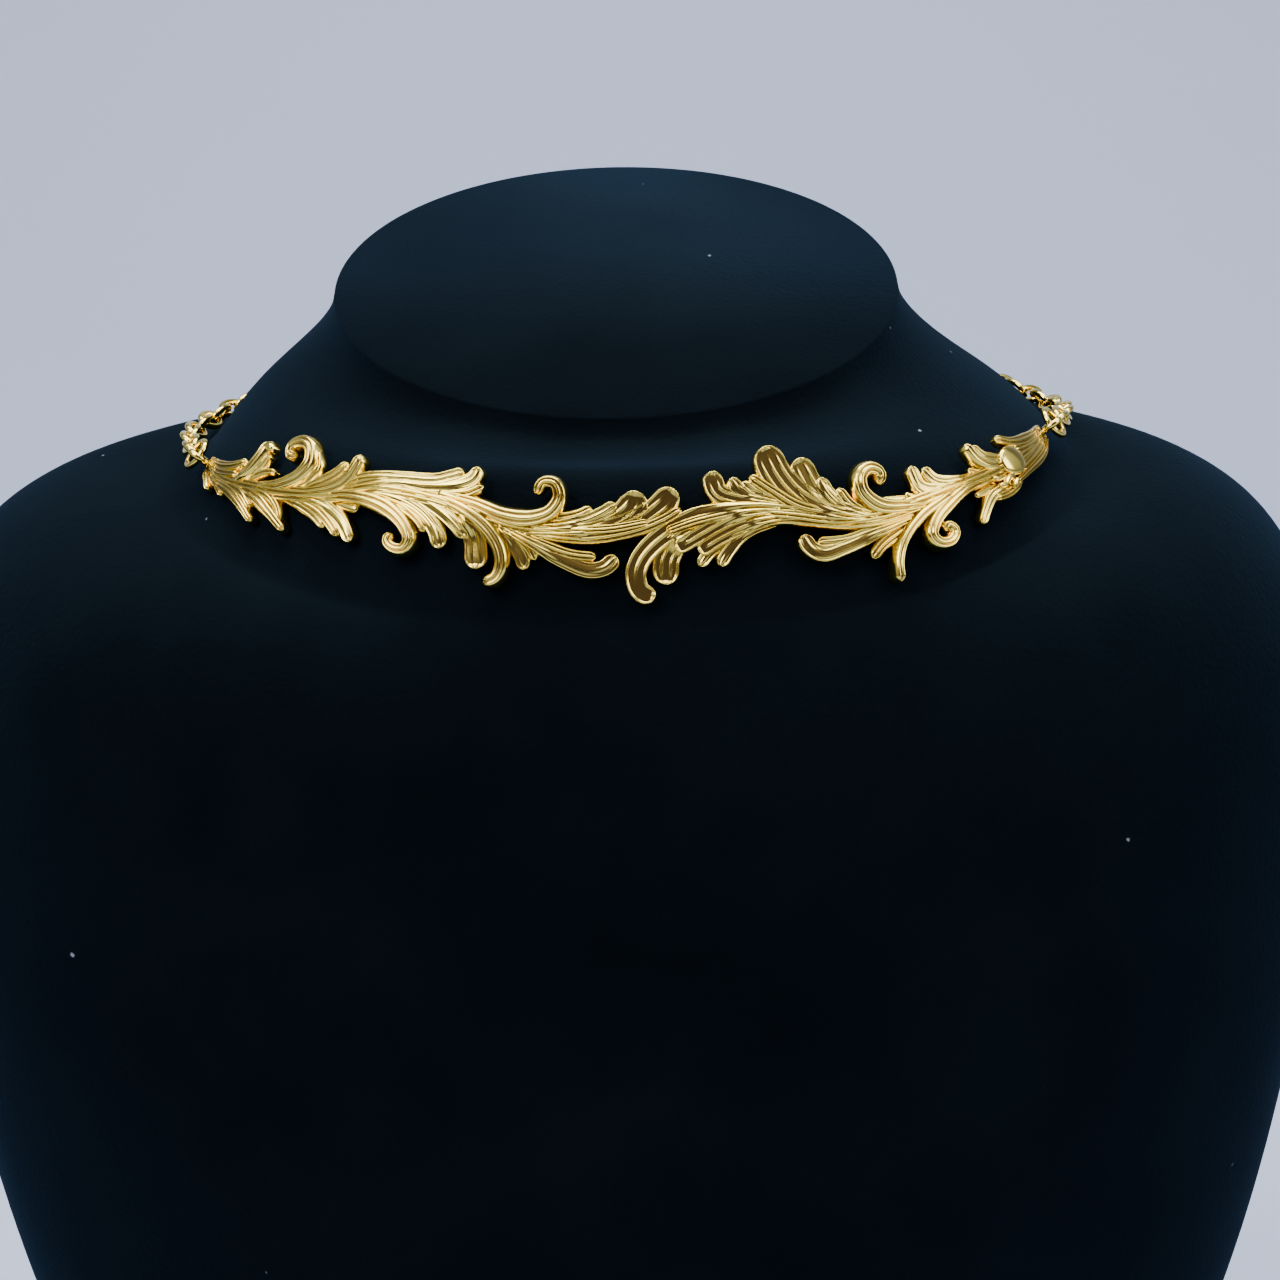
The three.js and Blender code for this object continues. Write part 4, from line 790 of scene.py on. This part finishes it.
class CHOKER_OT_chain(bpy.types.Operator):
    """Makes the two halves of the cable chain, each link a quarter turn from the last"""

    bl_idname = "choker.chain"
    bl_label = "Chain"

    def execute(self, context):
        gold = plated_gold("plated_gold_wire", context.scene.choker_colours, WIRE_FINISH)
        wire = LINK["wire"]
        overlap = wire - LINK_BITE
        for name, side in (("left", -1), ("right", 1)):
            start = end_stations(side)[2] + side * overlap / 2
            clasp_end = NAPE - CLASP["length"] / 2 + CLASP["bar"] + 2 * TOUCH_GAP + wire / 2
            stops = chain_stops(start, side * (clasp_end - overlap / 2), LINK["length"] - 2 * wire)
            ends = wire_point(stops)
            outs = neck_frame((stops[:-1] + stops[1:]) / 2)[3]
            skin = Skin()
            for k, out in enumerate(outs):
                x = unit(ends[k + 1] - ends[k])
                flat = unit(np.cross(out, x))
                y = flat if k % 2 else np.cross(x, flat)
                half = (np.linalg.norm(ends[k + 1] - ends[k]) + overlap) / 2
                wire_oval(skin, (ends[k] + ends[k + 1]) / 2, x, y, half, (LINK["width"] - wire) / 2,
                          wire, around=28, sides=12)
            skin.piece(f"cable_chain_{name}", "gold_chain", gold, f"chain_{name}")
        return {"FINISHED"}


class CHOKER_OT_clasp(bpy.types.Operator):
    """Makes the closed clasp at the nape: an eye and an oval catch that are one piece"""

    bl_idname = "choker.clasp"
    bl_label = "Clasp"

    def execute(self, context):
        gold = plated_gold("plated_gold_wire", context.scene.choker_colours, WIRE_FINISH)
        half, bar = CLASP["length"] / 2, CLASP["bar"]
        middle = (wire_point(NAPE - half) + wire_point(half - NAPE)) / 2
        _, along, up, _ = neck_frame(NAPE)
        skin = Skin()
        flat = LINK["wire"] / bar
        eye = (CLASP["eye"] - bar) / 2
        wire_oval(skin, middle + (CLASP["eye"] / 2 - half) * along, along, up, eye, eye, bar, flat=flat)
        catch = (CLASP["length"] - CLASP["eye"]) / 2
        wire_oval(skin, middle + (half - catch - bar / 2) * along, along, up,
                  catch, (CLASP["width"] - bar) / 2, bar, around=56, flat=flat)
        skin.piece("wire_clasp", "gold_chain", gold, "clasp")
        return {"FINISHED"}


class CHOKER_OT_stage(bpy.types.Operator):
    """Makes the floor that sweeps up into a wall, the soft lights, the room's light and the camera"""

    bl_idname = "choker.stage"
    bl_label = "Stage"

    def execute(self, context):
        scene = context.scene
        self.sweep(scene)
        self.lights(scene)
        self.room_light(scene)
        self.camera(scene)
        return {"FINISHED"}

    def sweep(self, scene):
        """The floor, a quarter circle and the wall, all of one width, in metres."""
        front, bend, radius, top, half_across = -3.0, 1.0, 0.6, 3.0, 3
        turn = np.linspace(0, np.pi / 2, 25)
        y = np.concatenate([[front], bend + radius * np.sin(turn), [bend + radius]])
        z = np.concatenate([[0.0], radius - radius * np.cos(turn), [top]])
        x = np.linspace(-half_across, half_across, 9)
        points = np.stack([x[None, :] + 0 * y[:, None], y[:, None] + 0 * x, z[:, None] + 0 * x], -1)
        index = np.arange(points.shape[0] * points.shape[1]).reshape(points.shape[:2])
        quads = np.stack([index[:-1, :-1], index[:-1, 1:], index[1:, 1:], index[1:, :-1]], -1)
        sweep = new_object("floor_and_wall", points.reshape(-1, 3), quads.reshape(-1, 4).tolist(),
                           matt_paint(scene.choker_colours))

    def lights(self, scene):
        """Large soft panels: place, size, power in watts and what each is turned to, in metres."""
        collar, wall = (0.0, 0.0, LOOP_HEIGHT * MM), (0.0, 1.0, 0.5)
        for name, place, size, power, target in (
            ("key_panel", (-0.75, -0.7, 1.0), (0.7, 0.7), 19.0, collar),
            ("fill_panel", (1.05, -0.35, 0.75), (0.6, 0.8), 10.0, collar),
            ("top_panel", (0.1, -0.1, 1.2), (0.9, 0.7), 12.0, collar),
            ("wall_panel", (0.0, 0.45, 1.6), (1.6, 0.4), 38.0, wall),
        ):
            data = bpy.data.lights.new(name, "AREA")
            data.shape, data.size, data.size_y, data.energy = "RECTANGLE", *size, power
            lamp = bpy.data.objects.new(name, data)
            back = unit(np.array(place) - target)
            overhead = abs(back[2]) >= 0.99
            right = unit(np.cross([0.0, 1.0, 0.0] if overhead else [0.0, 0.0, 1.0], back))
            lamp.matrix_world = placed(place, right, np.cross(back, right), back)
            scene.collection.objects.link(lamp)

    def room_light(self, scene):
        """The room: bright above and dim below, with the dark of the photographer's side in front.
        Reflections and lit surfaces see that. The view itself sees one strength all round."""
        strength, seen_level, photographer = 1.5, 0.5, (0.0, -0.985, 0.174)
        world = bpy.data.worlds.new("room")
        world.use_nodes = True
        tree = world.node_tree
        tree.nodes.clear()
        way = add_node(tree, "ShaderNodeTexCoord").outputs["Generated"]
        facing = add_node(tree, "ShaderNodeVectorMath", {"operation": "DOT_PRODUCT"}, {
            0: way, 1: photographer}).outputs["Value"]
        lit = remap(tree, facing, (0.4, 0.8), (1.0, 0.28), "SMOOTHSTEP")
        height = add_node(tree, "ShaderNodeSeparateXYZ", inputs={"Vector": way}).outputs["Z"]
        above = remap(tree, height, (-0.1, 0.8), (0.25, 1.6))
        seen = add_node(tree, "ShaderNodeLightPath").outputs["Is Camera Ray"]
        level = add_node(tree, "ShaderNodeMix", {"data_type": "FLOAT"}, {
            "Factor": seen, "A": multiply(tree, above, lit), "B": seen_level}).outputs[0]
        colours = scene.choker_colours
        glow = add_node(tree, "ShaderNodeBackground", inputs={
            "Color": blend(tree, lit, (*colours.front, 1), (*colours.room, 1)),
            "Strength": multiply(tree, level, strength)})
        add_node(tree, "ShaderNodeOutputWorld", inputs={"Surface": glow.outputs[0]})
        scene.world = world

    def camera(self, scene):
        """The photograph's view: looking down by 10 degrees, rolled by 1, from 420 mm away, at a
        point a little to the right of the middle and below the collar."""
        down, roll, away, aside, below = np.radians(10.0), np.radians(1.0), 0.42, 2.4, 26.8
        view = np.array([0.0, np.cos(down), -np.sin(down)])
        right, up = np.array([1.0, 0.0, 0.0]), np.array([0.0, np.sin(down), np.cos(down)])
        right, up = right * np.cos(roll) - up * np.sin(roll), up * np.cos(roll) + right * np.sin(roll)
        target = np.array([aside, 0.0, LOOP_HEIGHT - below]) * MM
        data = bpy.data.cameras.new("photograph_view")
        data.sensor_width, data.lens, data.clip_start, data.clip_end = 36.0, 85.6, 0.02, 20.0
        camera = bpy.data.objects.new("photograph_view", data)
        camera.matrix_world = placed(target - view * away, right, up, -view)
        scene.collection.objects.link(camera)
        scene.camera = camera


class CHOKER_PT_panel(bpy.types.Panel):
    bl_idname = "CHOKER_PT_panel"
    bl_label = "Collar choker"
    bl_space_type = "VIEW_3D"
    bl_region_type = "UI"
    bl_category = "Choker"

    def draw(self, context):
        for group in (context.scene.choker_sizes, context.scene.choker_colours):
            for name in group.__annotations__:
                self.layout.prop(group, name)
        for operator in OPERATORS:
            self.layout.operator(operator.bl_idname)


OPERATORS = (CHOKER_OT_bust, CHOKER_OT_collar, CHOKER_OT_rings, CHOKER_OT_chain, CHOKER_OT_clasp,
             CHOKER_OT_stage)
CLASSES = (ChokerSizes, ChokerColours, *OPERATORS, CHOKER_PT_panel)


def register():
    for cls in CLASSES:
        bpy.utils.register_class(cls)
    bpy.types.Scene.choker_sizes = bpy.props.PointerProperty(type=ChokerSizes)
    bpy.types.Scene.choker_colours = bpy.props.PointerProperty(type=ChokerColours)


def unregister():
    del bpy.types.Scene.choker_colours
    del bpy.types.Scene.choker_sizes
    for cls in reversed(CLASSES):
        bpy.utils.unregister_class(cls)


def main():
    """Registers the classes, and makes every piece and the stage."""
    register()
    bpy.ops.choker.bust()
    bpy.ops.choker.collar()
    bpy.ops.choker.rings()
    bpy.ops.choker.chain()
    bpy.ops.choker.clasp()
    bpy.ops.choker.stage()


if __name__ == "__main__":
    main()
